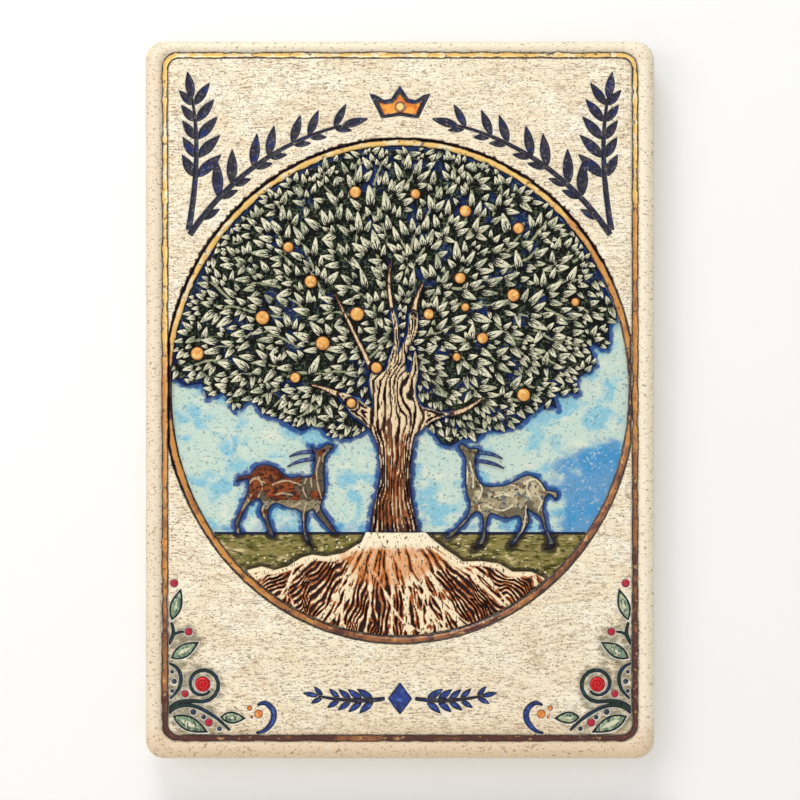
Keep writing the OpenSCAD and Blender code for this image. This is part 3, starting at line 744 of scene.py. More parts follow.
@dataclass
class Slab:
    """The slab of clay: rim, field, cut strokes, medallion floor and hollow back."""

    corner: float = 5.5
    edge: float = 4.0
    cut_depth: float = 0.55
    foot: float = 13.0
    foot_corner: float = 10.0
    hollow: float = 4.0
    grid: float = 1.3
    merge: float = 0.16
    waver: float = 0.35
    back_step: float = 1.5
    floor_step: float = 3.0
    finish: Finish = FIELD_CLAY
    size: Array = field(init=False)
    rim_height: float = field(init=False)
    cuts: Outline = field(init=False)
    frame_line: Outline = field(init=False)
    ring: Outline = field(init=False)
    medallion: Outline = field(init=False)
    floor_height: float = field(init=False)
    field_height: float = field(init=False)

    def __post_init__(self) -> None:
        """Take sizes and outlines from the frame."""
        low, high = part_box("slab")
        self.size = np.array([high.x - low.x, high.z - low.z]) / MM
        self.rim_height = -low.y / MM
        self.cuts = Outline.of(*STROKES)
        self.frame_line = Outline.of("frame_line")
        self.ring = Outline.of("medallion_line")
        self.medallion = outer_loop(self.ring)
        self.floor_height, self.field_height = heights("medallion_line")

    def border(self, inset: float, corner: float, spacing: float) -> Array:
        """Points around the slab's outline.

        Args:
            inset: How far inside the outline they lie.
            corner: Radius of the corners.
            spacing: Distance between two points.

        Returns:
            The points, anticlockwise.
        """
        half = self.size / 2 - inset
        r = max(corner, 0.4)
        out = []
        for k, (sx, sz) in enumerate(((1, 1), (-1, 1), (-1, -1), (1, -1))):
            c = np.array([sx, sz]) * (half - r)
            n = max(4, int(r * math.pi / 2 / spacing))
            for q in (k * 90 + 90 * i / n for i in range(n + 1)):
                out.append(c + r * np.array([math.cos(math.radians(q)), math.sin(math.radians(q))]))
        return loop_points(np.array(out), spacing)

    def edge_depth(self, p: Array) -> Array:
        """Depth of points inside the slab's outline, without its waver."""
        return box_depth(p, self.size / 2, self.corner)

    def surface(self, p: Array) -> tuple[Array, dict[str, Array]]:
        """Height of the front, what its glaze does there, and the highlight and shade painted on
        it.

        Args:
            p: Points on the face.

        Returns:
            The heights and the values for the material.
        """
        edge = self.edge_depth(p)
        inner = self.frame_line.depth(p)
        in_field = self.frame_line_filled(p)
        ring = self.medallion.depth(p)
        cut = self.cuts_near(p)
        t = np.clip(1 - edge / self.edge, 0, 1)
        side = self.rim_height - self.edge
        rim = side + self.edge * np.sqrt(1 - t * t)
        to_line = np.where(in_field > -4, -in_field, 4)
        rim -= 1.0 * ramp(to_line, 1.6, 0.0) + 0.12 * Grain(3).cloud(p, 12)
        flat = self.field_height + 0.1 * (Grain(8).cloud(p, 6, 0.5) - 0.5)
        flat -= self.cut_depth * ramp(cut, -0.2, 0.25)
        height = np.where(in_field > 0, flat, rim)
        height = np.where(inner > -0.1, self.field_height - 0.6, height)
        height = np.where(ring > -0.1, self.floor_height - 0.1, height)
        near_vine = ramp(np.abs(p[:, 0]), 30, 60) * ramp(p[:, 1], -48, -70)
        masks = {
            "rim": ramp(in_field, 0.3, -0.6),
            # Painted shade: darker, browner clay towards the left edge and the foot.
            "painted_shade_left_foot": np.maximum(0.6 * ramp(-p[:, 0], 56, 74), ramp(p[:, 1], -84, -104)) * 0.95,
            "brushed": ramp(in_field, 0.5, 2.5) * (0.55 + 0.45 * Grain(11).cloud(p, 30)),
            "smudge": near_vine * ramp(cut, -4.5, -0.2) * 0.9,
            # cut: painted highlight on the slopes just outside the cut strokes.
            "cut": ramp(cut, -0.22, -0.02),
            # line: painted shadow outside the medallion ring, strongest at the upper left.
            "line": ramp(ring, -0.75, -0.3) * ramp(p[:, 1] - p[:, 0] * 0.5, -30, 30)}
        return height, masks

    def frame_line_filled(self, p: Array) -> Array:
        """Depth inside the gold line's outer edge, below 0 on the rim."""
        low, high = self.frame_line.box()
        return box_depth(p - (high + low) / 2, (high - low) / 2, self.corner - 0.45)

    def cuts_near(self, p: Array) -> Array:
        """Depth inside the cut strokes, found only where it can be near 0."""
        out = np.full(len(p), -9.0)
        mid = (self.cuts.starts + self.cuts.ends) / 2
        cells = {tuple(c) for c in np.floor(mid / 10).astype(int)}
        near = {(i + a, j + b) for i, j in cells for a in (-1, 0, 1) for b in (-1, 0, 1)}
        place = np.floor(p / 10).astype(int)
        tiles = np.floor(mid / 10).astype(int)
        for i, j in near:
            these = (place[:, 0] == i) & (place[:, 1] == j)
            if not these.any():
                continue
            close = (np.abs(tiles - (i, j)) <= 1).all(1)
            lines = Outline(self.cuts.starts[close], self.cuts.ends[close])
            if close.any():
                out[these] = np.where(self.cuts.inside(p[these]), 1, -1) * lines.distance(p[these])
        return out

    def build(self) -> bpy.types.Object:
        """Make the slab as one closed body."""
        border = self.border(0, self.corner, 0.8)
        waver = self.waver * Grain(21).at(border, 9, 9)[:, None]
        border = border * (1 - waver / np.linalg.norm(border, axis=1)[:, None])
        rows = [self.border(k, self.corner - k, 0.9) for k in (0.35, 0.8, 1.4, 2.2, 3.1, 4.2)]
        rows.append(self.frame_line.rows((-1.3, -0.7, -0.15, 0.3), 0.8))
        rows.append(self.medallion.rows((-0.9, -0.6, -0.35, -0.12, 0.3), 0.5))
        rows.append(self.cuts.rows((-0.45, -0.2, 0.02, 0.24, 0.42), 0.5))
        low, high = -self.size / 2, self.size / 2
        grid = np.stack(np.meshgrid(np.arange(low[0] + 1, high[0], self.grid),
                                    np.arange(low[1] + 1, high[1], self.grid)), 2).reshape(-1, 2)
        grid += (np.random.default_rng(7).random(grid.shape) - 0.5) * 0.5
        far = self.medallion.depth(grid) < 1
        sparse = (np.floor(grid / self.grid).astype(int) % 4 == 0).all(1)
        rows.append(grid[(far | sparse) & (self.edge_depth(grid) > 4.4)])
        p = np.concatenate(rows)
        p = p[self.edge_depth(p) > 0.3]
        _, first = np.unique(np.floor(p / self.merge).astype(int), axis=0, return_index=True)
        p = np.concatenate([border, p[first]])
        n = len(border)
        ring = [(i, (i + 1) % n) for i in range(n)]
        verts, _, tris, *_ = delaunay_2d_cdt([Vector(q) for q in p], ring, [], 1, 1e-5)
        p, tris = np.array([v[:] for v in verts]), np.array(tris)
        height, masks = self.surface(p)
        rim = self.rim_of(tris)
        height[rim] = self.rim_height - self.edge
        return self.with_back(np.column_stack([p, height]), tris, rim, masks)

    def rim_of(self, tris: Array) -> Array:
        """Numbers of the border's points, in order round the slab."""
        after = dict(rim_edges(tris).tolist())
        out = [next(iter(after))]
        while after[out[-1]] != out[0]:
            out.append(after[out[-1]])
        return np.array(out)

    def with_back(self, top: Array, tris: Array, rim: Array,
                  masks: dict[str, Array]) -> bpy.types.Object:
        """Add the slab's sides, its foot and the hollow in its back.

        Args:
            top: Points of the front, as x, z and height.
            tris: Its triangles.
            rim: Numbers of its border's points, in order.
            masks: Values for its points.

        Returns:
            The slab.
        """
        p = top[rim][:, :2]
        inward = 1 - 0.5 / np.linalg.norm(p, axis=1)[:, None]
        bands = [np.column_stack([p, np.full(len(p), h)]) for h in (6.0, 3.6, 1.2)]
        bands[1][:, :2] *= 1 - 0.18 * Grain(31).at(p, 7, 7)[:, None] / 60
        bands.append(np.column_stack([p * inward, np.full(len(p), 0.3)]))
        bands.append(np.column_stack([p * (1 - 1.1 / np.linalg.norm(p, axis=1)[:, None]),
                                      np.zeros(len(p))]))
        points, faces, start = [top], [tris], rim
        count = len(top)
        m = len(rim)
        for band in bands:
            after = np.arange(count, count + m)
            nxt, far = np.roll(start, -1), np.roll(after, -1)
            faces += [np.stack([start, after, nxt], 1), np.stack([nxt, after, far], 1)]
            points.append(band)
            start, count = after, count + m
        outer = bands[-1][:, :2]
        lip = self.border(self.foot, self.foot_corner, self.back_step)
        inner = self.border(self.foot + 0.9, self.foot_corner - 0.9, self.back_step)
        inner = loop_points(inner, self.back_step, len(lip))
        lip = loop_points(lip, self.back_step, len(lip))
        back = [Vector(q) for q in outer] + [Vector(q) for q in lip]
        k = len(lip)
        edges = [(i, (i + 1) % m) for i in range(m)]
        edges += [(m + i, m + (i + 1) % k) for i in range(k)]
        flat, _, foot, *_ = delaunay_2d_cdt(back, edges, [], 1, 1e-6)
        foot = np.array(foot)
        middle = np.array([v[:] for v in flat])[foot].mean(1)
        hole = Outline(lip, np.roll(lip, -1, 0)).inside(middle)
        number = np.concatenate([start, np.arange(count, count + k)])
        faces.append(number[foot[~hole]][:, ::-1])
        points.append(np.column_stack([lip, np.zeros(k)]))
        lips, count = np.arange(count, count + k), count + k
        net = np.stack(np.meshgrid(np.arange(-60, 61, self.floor_step),
                                   np.arange(-90, 91, self.floor_step)), 2)
        net = net.reshape(-1, 2)
        net = net[Outline(inner, np.roll(inner, -1, 0)).depth(net) > 1]
        floor = [Vector(q) for q in np.concatenate([inner, net])]
        flat, _, bed, *_ = delaunay_2d_cdt(floor, [(i, (i + 1) % k) for i in range(k)], [], 1,
                                           1e-6)
        flat = np.array([v[:] for v in flat])
        points.append(np.column_stack([flat, np.full(len(flat), self.hollow)]))
        faces.append(np.array(bed)[:, ::-1] + count)
        beds = np.arange(count, count + k)
        nxt, far = np.roll(lips, -1), np.roll(beds, -1)
        faces += [np.stack([lips, beds, nxt], 1), np.stack([nxt, beds, far], 1)]
        every, faces = np.concatenate(points), np.concatenate(faces)
        verts = np.stack([every[:, 0], -every[:, 2], every[:, 1]], 1) * MM
        extra = len(every) - len(top)
        full = {key: np.concatenate([value, np.full(extra, 1.0 if key == "rim" else 0.0)])
                for key, value in masks.items()}
        return make_object("slab_body", verts, faces, full)


def box_depth(p: Array, half: Array, corner: float) -> Array:
    """Depth of points inside a rounded box around 0, below 0 outside it.

    Args:
        p: The points.
        half: Half its width and height.
        corner: Radius of its corners.

    Returns:
        The depths.
    """
    q = np.abs(p) - (half - corner)
    outside = np.linalg.norm(np.maximum(q, 0), axis=1)
    return corner - outside - np.minimum(np.maximum(q[:, 0], q[:, 1]), 0)


def loop_points(loop: Array, spacing: float, count: int = 0) -> Array:
    """Spread points evenly round a closed line.

    Args:
        loop: The line's points.
        spacing: Distance between two new points.
        count: How many there are, in place of the spacing.

    Returns:
        The new points.
    """
    closed_loop = np.concatenate([loop, loop[:1]])
    step = np.linalg.norm(np.diff(closed_loop, axis=0), axis=1)
    way = np.concatenate([[0], np.cumsum(step)])
    n = count or int(way[-1] / spacing)
    at = np.arange(n) * way[-1] / n
    return np.stack([np.interp(at, way, closed_loop[:, k]) for k in (0, 1)], 1)


def outer_loop(lines: Outline) -> Outline:
    """The longest closed line of an outline.

    Args:
        lines: The outline.

    Returns:
        That line alone.
    """
    after: dict[tuple, int] = {tuple(np.round(a, 3)): i for i, a in enumerate(lines.starts)}
    left, best = set(range(len(lines.starts))), []
    while left:
        path = [left.pop()]
        while True:
            step = after.get(tuple(np.round(lines.ends[path[-1]], 3)))
            if step is None or step not in left:
                break
            left.discard(step)
            path.append(step)
        best = max(best, path, key=lambda q: np.linalg.norm(
            lines.ends[q] - lines.starts[q], axis=1).sum())
    return Outline(lines.starts[best], lines.ends[best])


# ---- Gold lines -------------------------------------------------------------------------

GOLD_LUSTRE = Finish("gold_lustre", (252, 206, 116), coats=(
    # Pale, nearly white blots: painted glints on the lustre.
    Coat((255, 244, 206), size=(5, 5), low=0.48, high=0.62, strength=0.8),
    # These three coats paint shade on the gold: it turns brown towards the foot and the right of
    # the lines, where its reflection falls away.
    Coat((214, 146, 70), Source.MASK, "painted_sheen_and_shade", (5, 5), 0.2, 0.45, uneven=0.5),
    Coat((158, 98, 52), Source.MASK, "painted_sheen_and_shade", (4, 4), 0.5, 0.72, uneven=0.8),
    Coat((86, 34, 18), Source.MASK, "painted_sheen_and_shade", (4, 4), 0.72, 0.92, uneven=0.9),
    Coat((226, 178, 112), size=(2.2, 1.6), low=0.6, high=0.68, strength=0.6),
    Coat((84, 40, 22), size=(1.3, 1.3), low=0.6, high=0.67, strength=0.75),
    Coat((44, 24, 20), Source.MASK, "edge", (1.6, 1.6), 0.42, 0.85, uneven=1.0)),
    rough=(0.2, 0.4), gloss=0.4, metallic=0.12, grit=0.5, grit_size=0.9, shine=0.4)


@dataclass
class GoldLines:
    """The two gold lines: one round the field, one round the medallion."""

    hollow: float = 0.3
    bevel: float = 0.85
    finish: Finish = GOLD_LUSTRE

    def painted_sheen_and_shade(self, p: Array, depth: Array) -> Array:
        """Painted sheen and shade: bright at the top, brown at the foot and the right."""
        low, high = Outline.of("frame_line").box()
        z = (p[:, 1] - low[1]) / (high[1] - low[1])
        x = (p[:, 0] - low[0]) / (high[0] - low[0])
        return np.clip(0.93 - 0.93 * z ** 0.8 + 0.2 * ramp(x, 0.5, 1) * ramp(z, 1.0, 0.8)
                       + 0.3 * (Grain(41).cloud(p, 26) - 0.5), 0, 1)

    def build_frame(self) -> bpy.types.Object:
        """Make the line round the field, hollow along its middle."""
        low, high = heights("frame_line")

        def height(p: Array, depth: Array) -> Array:
            """Height across the line."""
            return high - 0.05 - self.hollow * ramp(depth, 0.1, 0.8)
        relief = Relief(Outline.of("frame_line"), low, 0.36, waver=0.4)
        return relief.build("frame_gold", height, {
            "edge": edge_mask(0.75), "painted_sheen_and_shade": self.painted_sheen_and_shade})

    def build_ring(self) -> bpy.types.Object:
        """Make the line round the medallion, which slopes down to the inside."""
        low, high = heights("medallion_line")
        lines = Outline.of("medallion_line")
        outer = outer_loop(lines)

        def height(p: Array, depth: Array) -> Array:
            """Height across the line."""
            inward = outer.depth(p)
            return (high + 0.02 - self.bevel * ramp(inward, 0.7, 2.2)
                    - 0.25 * ramp(inward, 0.0, 0.5) * ramp(inward, 1.3, 0.6))
        return Relief(lines, low, 0.36, waver=0.3).build("medallion_gold", height, {
            "edge": edge_mask(0.7), "painted_sheen_and_shade": self.painted_sheen_and_shade})

    def make(self) -> None:
        """Build and dress both lines."""
        dress(self.build_frame(), self.finish, "plaque", "gold_lustre", "frame_line")
        dress(self.build_ring(), self.finish, "plaque", "gold_lustre", "medallion_line")


# ---- Sky and grass ----------------------------------------------------------------------

SKY_SLIP = Finish("sky_slip", (202, 222, 208), coats=(
    Coat((128, 194, 216), size=(9, 7), low=0.47, high=0.62, strength=0.85),
    Coat((228, 232, 212), size=(5, 4), low=0.54, high=0.68, strength=0.7),
    Coat((28, 134, 200), Source.MASK, "deep", (6, 4), 0.45, 1.0, strength=0.8, uneven=1.6),
    Coat((224, 232, 220), size=(1.0, 0.8), low=0.57, high=0.68, strength=0.45),
    Coat((84, 128, 140), size=(0.9, 0.6), low=0.58, high=0.66, strength=0.6),
    Coat((22, 74, 150), Source.MASK, "shade", (2.0, 1.6), 0.45, 0.95, strength=0.9, uneven=1.6),
    Coat((46, 70, 86), Source.SPECK, size=(0.9, 0.7), low=0.42, high=0.36, strength=0.7)),
    rough=(0.4, 0.6), gloss=0.06, grit=0.7)

GRASS_SLIP = Finish("grass_slip", (142, 130, 74), coats=(
    Coat((222, 202, 150), size=(5, 3.0), low=0.53, high=0.66, strength=0.9),
    Coat((98, 96, 36), size=(5, 1.8), low=0.48, high=0.6, strength=0.9),
    Coat((52, 42, 22), size=(2.6, 0.6), low=0.55, high=0.62, strength=0.9),
    Coat((206, 190, 140), size=(2.0, 0.5), low=0.61, high=0.67, strength=0.8),
    Coat((246, 236, 204), Source.SPECK, size=(1.5, 1.3), low=0.75, high=0.42, within="dots"),
    Coat((34, 26, 22), Source.MASK, "shade", (2.6, 1.4), 0.3, 0.9, strength=0.85, uneven=0.9),
    Coat((26, 28, 52), Source.MASK, "horizon", (5, 2), 0.35, 0.7, uneven=0.5)),
    rough=(0.4, 0.6), gloss=0.06, grit=0.6)


@dataclass
class Ground:
    """The painted sky and grass inside the medallion."""

    cell: float = 0.62
    shade: float = 2.3

    def near(self, *nodes: str) -> Rule:
        """Mask rule that is 1 beside the named nodes."""
        lines = Outline.of(*nodes)
        return lambda p, depth: ramp(lines.distance(p), self.shade, 0.2)

    def make(self) -> None:
        """Build and dress the sky and the grass."""
        low, high = heights("sky_slip")
        horizon = Outline.of("grass_slip").box()[1][1]
        width = Outline.of("sky_slip").box()[1][0]

        def height(p: Array, depth: Array) -> Array:
            """Nearly flat, with the marks of the brush."""
            return high - 0.1 * Grain(51).cloud(p, 7, 0.25)

        def deep(p: Array, depth: Array) -> Array:
            """Where the blue is strongest: low on the right and along the horizon."""
            return np.maximum(ramp(p[:, 0], 0.45 * width, 0.9 * width) * ramp(p[:, 1], -2, -24)
                              * 1.4, 0.6 * ramp(p[:, 1], horizon + 7, horizon))

        dress(Relief(Outline.of("sky_slip"), low, self.cell).build("sky", height, {
            "deep": deep, "shade": self.near("foliage", "trunk", "deer_left", "deer_right")}),
            SKY_SLIP, "plaque", "blue_slip", "sky_slip")
        roots = Outline.of("roots")
        dress(Relief(Outline.of("grass_slip"), low, self.cell).build("grass", height, {
            "horizon": lambda p, depth: ramp(p[:, 1], horizon - 1.3, horizon - 0.5),
            "dots": lambda p, depth: ramp(roots.distance(p), 5.5, 3.0),
            "shade": self.near("roots", "deer_left", "deer_right")}),
            GRASS_SLIP, "plaque", "olive_slip", "grass_slip")


# ---- Trunk, roots and boughs ------------------------------------------------------------

BARK = Finish("bark_slip", (34, 20, 18), coats=(
    Coat((106, 68, 50), Source.MASK, "ridge", (0.8, 3), 0.34, 0.5, strength=0.95, uneven=0.7),
    Coat((182, 112, 68), Source.MASK, "glow", (1.6, 6), 0.55, 1.0, strength=0.75, uneven=1.5),
    Coat((244, 220, 180), Source.MASK, "pale", (0.8, 3), 0.4, 0.7, strength=0.95, uneven=0.9),
    Coat((28, 44, 100), Source.MASK, "blue", (2, 8), 0.35, 0.8, strength=0.8, uneven=0.8),
    Coat((34, 20, 18), size=(0.5, 2.4), low=0.57, high=0.62, strength=0.9),
    Coat((30, 18, 18), Source.MASK, "groove", (0.8, 2), 0.62, 0.85, uneven=0.6)),
    rough=(0.38, 0.55), gloss=0.08, grit=0.5)

ROOT = Finish("root_slip", (44, 22, 18), coats=(
    Coat((178, 98, 50), Source.MASK, "ridge", (1.6, 1.6), 0.36, 0.52, strength=0.95, uneven=0.8),
    Coat((252, 232, 194), Source.MASK, "ridge", (2.0, 1.4), 0.6, 0.78, uneven=0.8),
    Coat((222, 138, 70), Source.MASK, "glow", (4, 5), 0.55, 1.05, strength=0.7, uneven=1.5),
    Coat((254, 240, 208), Source.MASK, "collar", (3, 3), 0.5, 0.9, strength=0.95, uneven=0.9),
    Coat((44, 22, 18), size=(0.6, 1.4), low=0.59, high=0.64, strength=0.9),
    Coat((44, 22, 18), Source.MASK, "groove", (1, 1), 0.5, 0.75, uneven=0.4)),
    rough=(0.38, 0.55), gloss=0.08, grit=0.5)


def ridges(phase: Array) -> Array:
    """Rounded ridges, one for each whole number of the phase, 1 on top and 0 between them."""
    return 0.5 + 0.5 * np.cos(2 * math.pi * phase)


@dataclass
class Tree:
    """Carved trunk, roots and boughs; their strands run with the wood."""

    strands: float = 11.0
    reach: float = 7.5
    roots: int = 14
    strand: float = 1.3
    parting: tuple[float, float] = (-18.0, 0.0)
    carve: float = 0.85
    cell: float = 0.34

    def stem(self, lines: Outline) -> tuple[Callable[[Array], Array], Callable[[Array], Array]]:
        """Measure the trunk row by row, without the limbs at its sides.

        Args:
            lines: The trunk's outline.

        Returns:
            Rules for the middle and the half width of the stem at each point.
        """
        low, high = lines.box()
        z = np.linspace(low[1] + 0.05, high[1] - 0.05, 160)
        x = np.linspace(low[0], high[0], 240)
        grid = np.stack(np.meshgrid(x, z), 2).reshape(-1, 2)
        inside = lines.inside(grid).reshape(len(z), len(x))
        left = np.array([x[row.argmax()] for row in inside])
        right = np.array([x[len(x) - 1 - row[::-1].argmax()] for row in inside])
        left, right = np.maximum(left, -self.reach - 1.5), np.minimum(right, self.reach)
        soft = np.ones(13) / 13
        left = np.convolve(np.pad(left, 6, mode="edge"), soft, "valid")
        right = np.convolve(np.pad(right, 6, mode="edge"), soft, "valid")
        return (lambda p: np.interp(p[:, 1], z, (left + right) / 2),
                lambda p: np.interp(p[:, 1], z, np.maximum(right - left, 1.5) / 2))

    def carved(self, name: str, lines: Outline, span: tuple[float, float], ridge: Rule,
               masks: dict[str, Rule]) -> bpy.types.Object:
        """Make a shape whose front is carved in ridges.

        Args:
            name: Name of the piece.
            lines: Its outline.
            span: Heights of its back and front.
            ridge: Gives 1 on a ridge and 0 in a groove.
            masks: Further values for the material.

        Returns:
            The piece.
        """
        low, high = span

        def height(p: Array, depth: Array) -> Array:
            """Height of the carved front."""
            off = np.sqrt(1 - np.clip(1 - depth / 1.2, 0, 1) ** 2)
            top = high - self.carve * (1 - ridge(p, depth))
            return low + 0.3 + (top - low - 0.3) * (0.35 + 0.65 * off)
        return Relief(lines, low, self.cell, waver=0.2).build(
            name, height, {"ridge": ridge, **masks})

    def make_trunk(self) -> None:
        """Build and dress the trunk."""
        lines = Outline.of("trunk")
        middle, half = self.stem(lines)

        def strand(p: Array) -> Array:
            """Upright strands that part and meet again; they widen in the limbs."""
            side = (p[:, 0] - middle(p)) / half(p)
            sway = 2.2 * (Grain(61).cloud(p, 5, 2.4) - 0.5) + 0.8 * (Grain(62).at(p, 2, 7) - 0.5)
            fine = ridges(side * self.strands / 2 + sway)
            wide = ridges(side * self.strands / 2.7 + 0.8 * sway + 0.2)
            up = ramp(p[:, 1] + 12 * (Grain(67).at(p, 4, 5) - 0.5), *self.parting)
            return fine * (1 - up) + wide ** 0.5 * up

        def ridge(p: Array, depth: Array) -> Array:
            """The strands, and strands along the edges of the side limbs."""
            out = ramp(np.abs(p[:, 0] - middle(p)) / half(p), 0.95, 1.15)
            limb = ridges(depth / self.strand - 0.2 + 0.9 * (Grain(64).at(p, 3, 3) - 0.5))
            fine = Grain(66).at(p, 0.7, 2.2)
            return np.clip(strand(p) * (1 - out) + limb * out + 0.6 * (fine - 0.5), 0, 1)

        def pale(p: Array, depth: Array) -> Array:
            """Bare clay on the ridges: thin lines in the stem, broad ones in the limbs."""
            up = ramp(p[:, 1] + 14 * (Grain(69).at(p, 3, 7) - 0.5), -30, 4)
            return ramp(ridge(p, depth) + 0.4 * up, 0.86, 1.0)
        masks = {
            "glow": lambda p, depth: ramp(depth, 0.8, 3.0) * ramp(p[:, 1], 0, -16),
            "blue": lambda p, depth: ramp(depth, 1.3, 0.2) * ramp(
                Grain(68).at(p, 3, 9), 0.35, 0.65) * ramp(p[:, 1], -6, -14),
            "pale": pale,
            "groove": lambda p, depth: ramp(ridge(p, depth), 0.34, 0.14)}
        dress(self.carved("tree_trunk", lines, heights("trunk"), ridge, masks),
              BARK, "plaque", "bark_slip", "trunk")

    def root_lines(self, start: Array) -> list[Outline]:
        """Grow the roots: thick ones from the foot of the trunk, each forking twice.

        Args:
            start: Middle of the trunk's foot.

        Returns:
            The middle lines of the thick, the medium and the thin roots.
        """
        rng = np.random.default_rng(77)
        kinds: list[Outline] = []
        heads = [(start + (9.5 * k, -0.5), 1.45 * k) for k in np.linspace(-1, 1, self.roots)]
        for rank, (steps, fork) in enumerate(((9, 2), (10, 2), (14, 0))):
            lines, ends = None, []
            for p, lean in heads:
                path, bias = [p], 0.1 * (rng.random() - 0.5)
                for _ in range(steps):
                    down = 0.94 if rank else 0.98
                    lean = lean * down + bias + 0.3 * (rng.random() - 0.5)
                    step = 1.5 + 0.9 * abs(math.sin(lean))
                    p = p + step * np.array([math.sin(lean), -math.cos(lean)])
                    path.append(p)
                piece = Outline.line(np.array(path))
                lines = piece if lines is None else lines.joined(piece)
                for k in range(fork):
                    at = path[-1 - 2 * k] if rank else path[-1 - 3 * k]
                    ends.append((at, lean + (0.24 if k else -0.2) * (1 + 0.6 * rng.random())))
            kinds.append(lines)
            heads = ends
        return kinds

    def make_roots(self) -> None:
        """Build and dress the roots."""
        foot_low, foot_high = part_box("trunk")
        start = np.array([(foot_low.x + foot_high.x) / 2 / MM - 1.6, foot_low.z / MM])
        outline = Outline.of("roots")
        kinds = self.root_lines(start)

        def ridge(p: Array, depth: Array) -> Array:
            """Height of the nearest root; roots rise between dark grooves."""
            rise = np.zeros(len(p))
            sway = 0.5 * (Grain(71).at(p, 2.2, 2.2) - 0.5)
            for lines, width in zip(kinds, (1.0, 0.68, 0.45)):
                rise = np.maximum(rise, ramp(lines.distance(p) + sway, width, 0.3 * width))
            turn = np.arctan2(p[:, 0] - start[0], start[1] + 9 - p[:, 1])
            away = np.hypot(p[:, 0] - start[0], p[:, 1] - start[1] - 9) + 8 * (
                Grain(73).at(p, 4, 4) - 0.5)
            loose = 1.6 * (Grain(79).cloud(p, 13) - 0.5) + 0.7 * (Grain(75).at(p, 2.4, 5) - 0.5)
            filler = np.zeros(len(p))
            for share, near, far in ((13, 0, 24), (22, 24, 36), (36, 36, 300)):
                band = ramp(away, near - 2, near) * ramp(away, far, far - 2)
                filler += band * ridges(turn * share + loose * share / 13)
            filler *= 0.64 + 0.36 * Grain(78).at(p, 2.5, 5)
            collar = ramp(p[:, 1] + 3 * (Grain(74).at(p, 3, 3) - 0.5), start[1] - 7, start[1] - 3)
            rim = ramp(depth + 0.8 * (Grain(72).at(p, 3, 3) - 0.5), 2.2, 1.0) * ramp(
                p[:, 1], start[1] - 17, start[1] - 11)
            rise = np.maximum(np.maximum(rise, filler), np.maximum(collar, rim))
            return np.clip(rise + 0.35 * (Grain(76).at(p, 1.3, 1.3) - 0.5), 0, 1)

        def glow(p: Array, depth: Array) -> Array:
            """Warm glow below the trunk."""
            return ramp(np.linalg.norm((p - start + (0, 9)) / (24, 11), axis=1), 1.1, 0.3)
        dress(self.carved("tree_roots", outline, heights("roots"), ridge, {
            "glow": glow,
            "collar": lambda p, depth: ramp(p[:, 1], start[1] - 8, start[1] - 3),
            "groove": lambda p, depth: ramp(ridge(p, depth), 0.35, 0.12)}),
            ROOT, "plaque", "root_slip", "roots")

    def make_boughs(self) -> None:
        """Build and dress the boughs, whose strands follow their edges."""
        def ridge(p: Array, depth: Array) -> Array:
            """Strands along the edges."""
            return np.clip(ridges(depth / self.strand - 0.35) + 0.3 * (
                Grain(81).at(p, 1.2, 1.2) - 0.5), 0, 1)
        zero: Rule = lambda p, depth: np.zeros(len(p))
        pale: Rule = lambda p, depth: 0.75 * ramp(depth, 0.1, 0.5)
        for node in ("bough_left", "bough_right", "bough_centre", "bough_upper", "bough_outer"):
            piece = self.carved(f"{node}_wood", Outline.of(node), heights(node), ridge,
                                {"glow": zero, "blue": zero, "pale": pale, "groove": zero})
            dress(piece, BARK, "plaque", "bark_slip", node)

    def make(self) -> None:
        """Build and dress every part of the tree."""
        self.make_trunk()
        self.make_roots()
        self.make_boughs()


# ---- Foliage, leaves and fruit ----------------------------------------------------------

FOLIAGE = Finish("dark_green_glaze", (8, 14, 10), coats=(
    Coat((18, 40, 98), size=(7, 7), low=0.56, high=0.64, strength=0.8),
    Coat((78, 94, 72), size=(0.6, 1.4), low=0.57, high=0.62, strength=0.7),
    Coat((110, 118, 90), size=(1.4, 0.5), low=0.59, high=0.65, strength=0.7),
    Coat((170, 172, 138), Source.MASK, "twig", (1.2, 1.2), 0.5, 0.8, strength=0.9, uneven=1.1),
    Coat((14, 30, 80), Source.MASK, "edge", (2, 2), 0.45, 0.95, uneven=0.6)),
    rough=(0.3, 0.5), gloss=0.06, grit=0.6)

LEAF = Finish("leaf_slip", (224, 220, 190), coats=(
    Coat((160, 168, 136), size=(5, 5), low=0.5, high=0.64, strength=0.8),
    Coat((248, 240, 214), size=(1.4, 1.4), low=0.52, high=0.62, strength=0.85),
    Coat((70, 92, 74), size=(9, 9), low=0.58, high=0.7, strength=0.6),
    Coat((10, 16, 12), Source.MASK, "foot", (0.8, 0.8), 0.3, 0.65, uneven=1.4),
    Coat((8, 12, 8), Source.MASK, "edge", (0.9, 0.9), 0.5, 0.7, uneven=0.6),
    Coat((10, 14, 10), Source.FORK),
    Coat((20, 28, 22), size=(0.4, 0.7), low=0.6, high=0.65, strength=0.85)),
    rough=(0.35, 0.5), gloss=0.06, grit=0.4)

AMBER = Finish("gold_glaze", (232, 166, 78), coats=(
    Coat((252, 208, 128), size=(1.5, 1.5), low=0.48, high=0.6, strength=0.85),
    Coat((178, 100, 42), size=(1.2, 1.2), low=0.58, high=0.68, strength=0.7),
    Coat((196, 118, 50), Source.MASK, "edge", (1.2, 1.2), 0.1, 0.6, strength=0.85),
    Coat((48, 28, 20), Source.MASK, "edge", (1.2, 1.2), 0.55, 0.85, uneven=0.4)),
    rough=(0.2, 0.35), gloss=0.4, grit=0.3, shine=0.3)


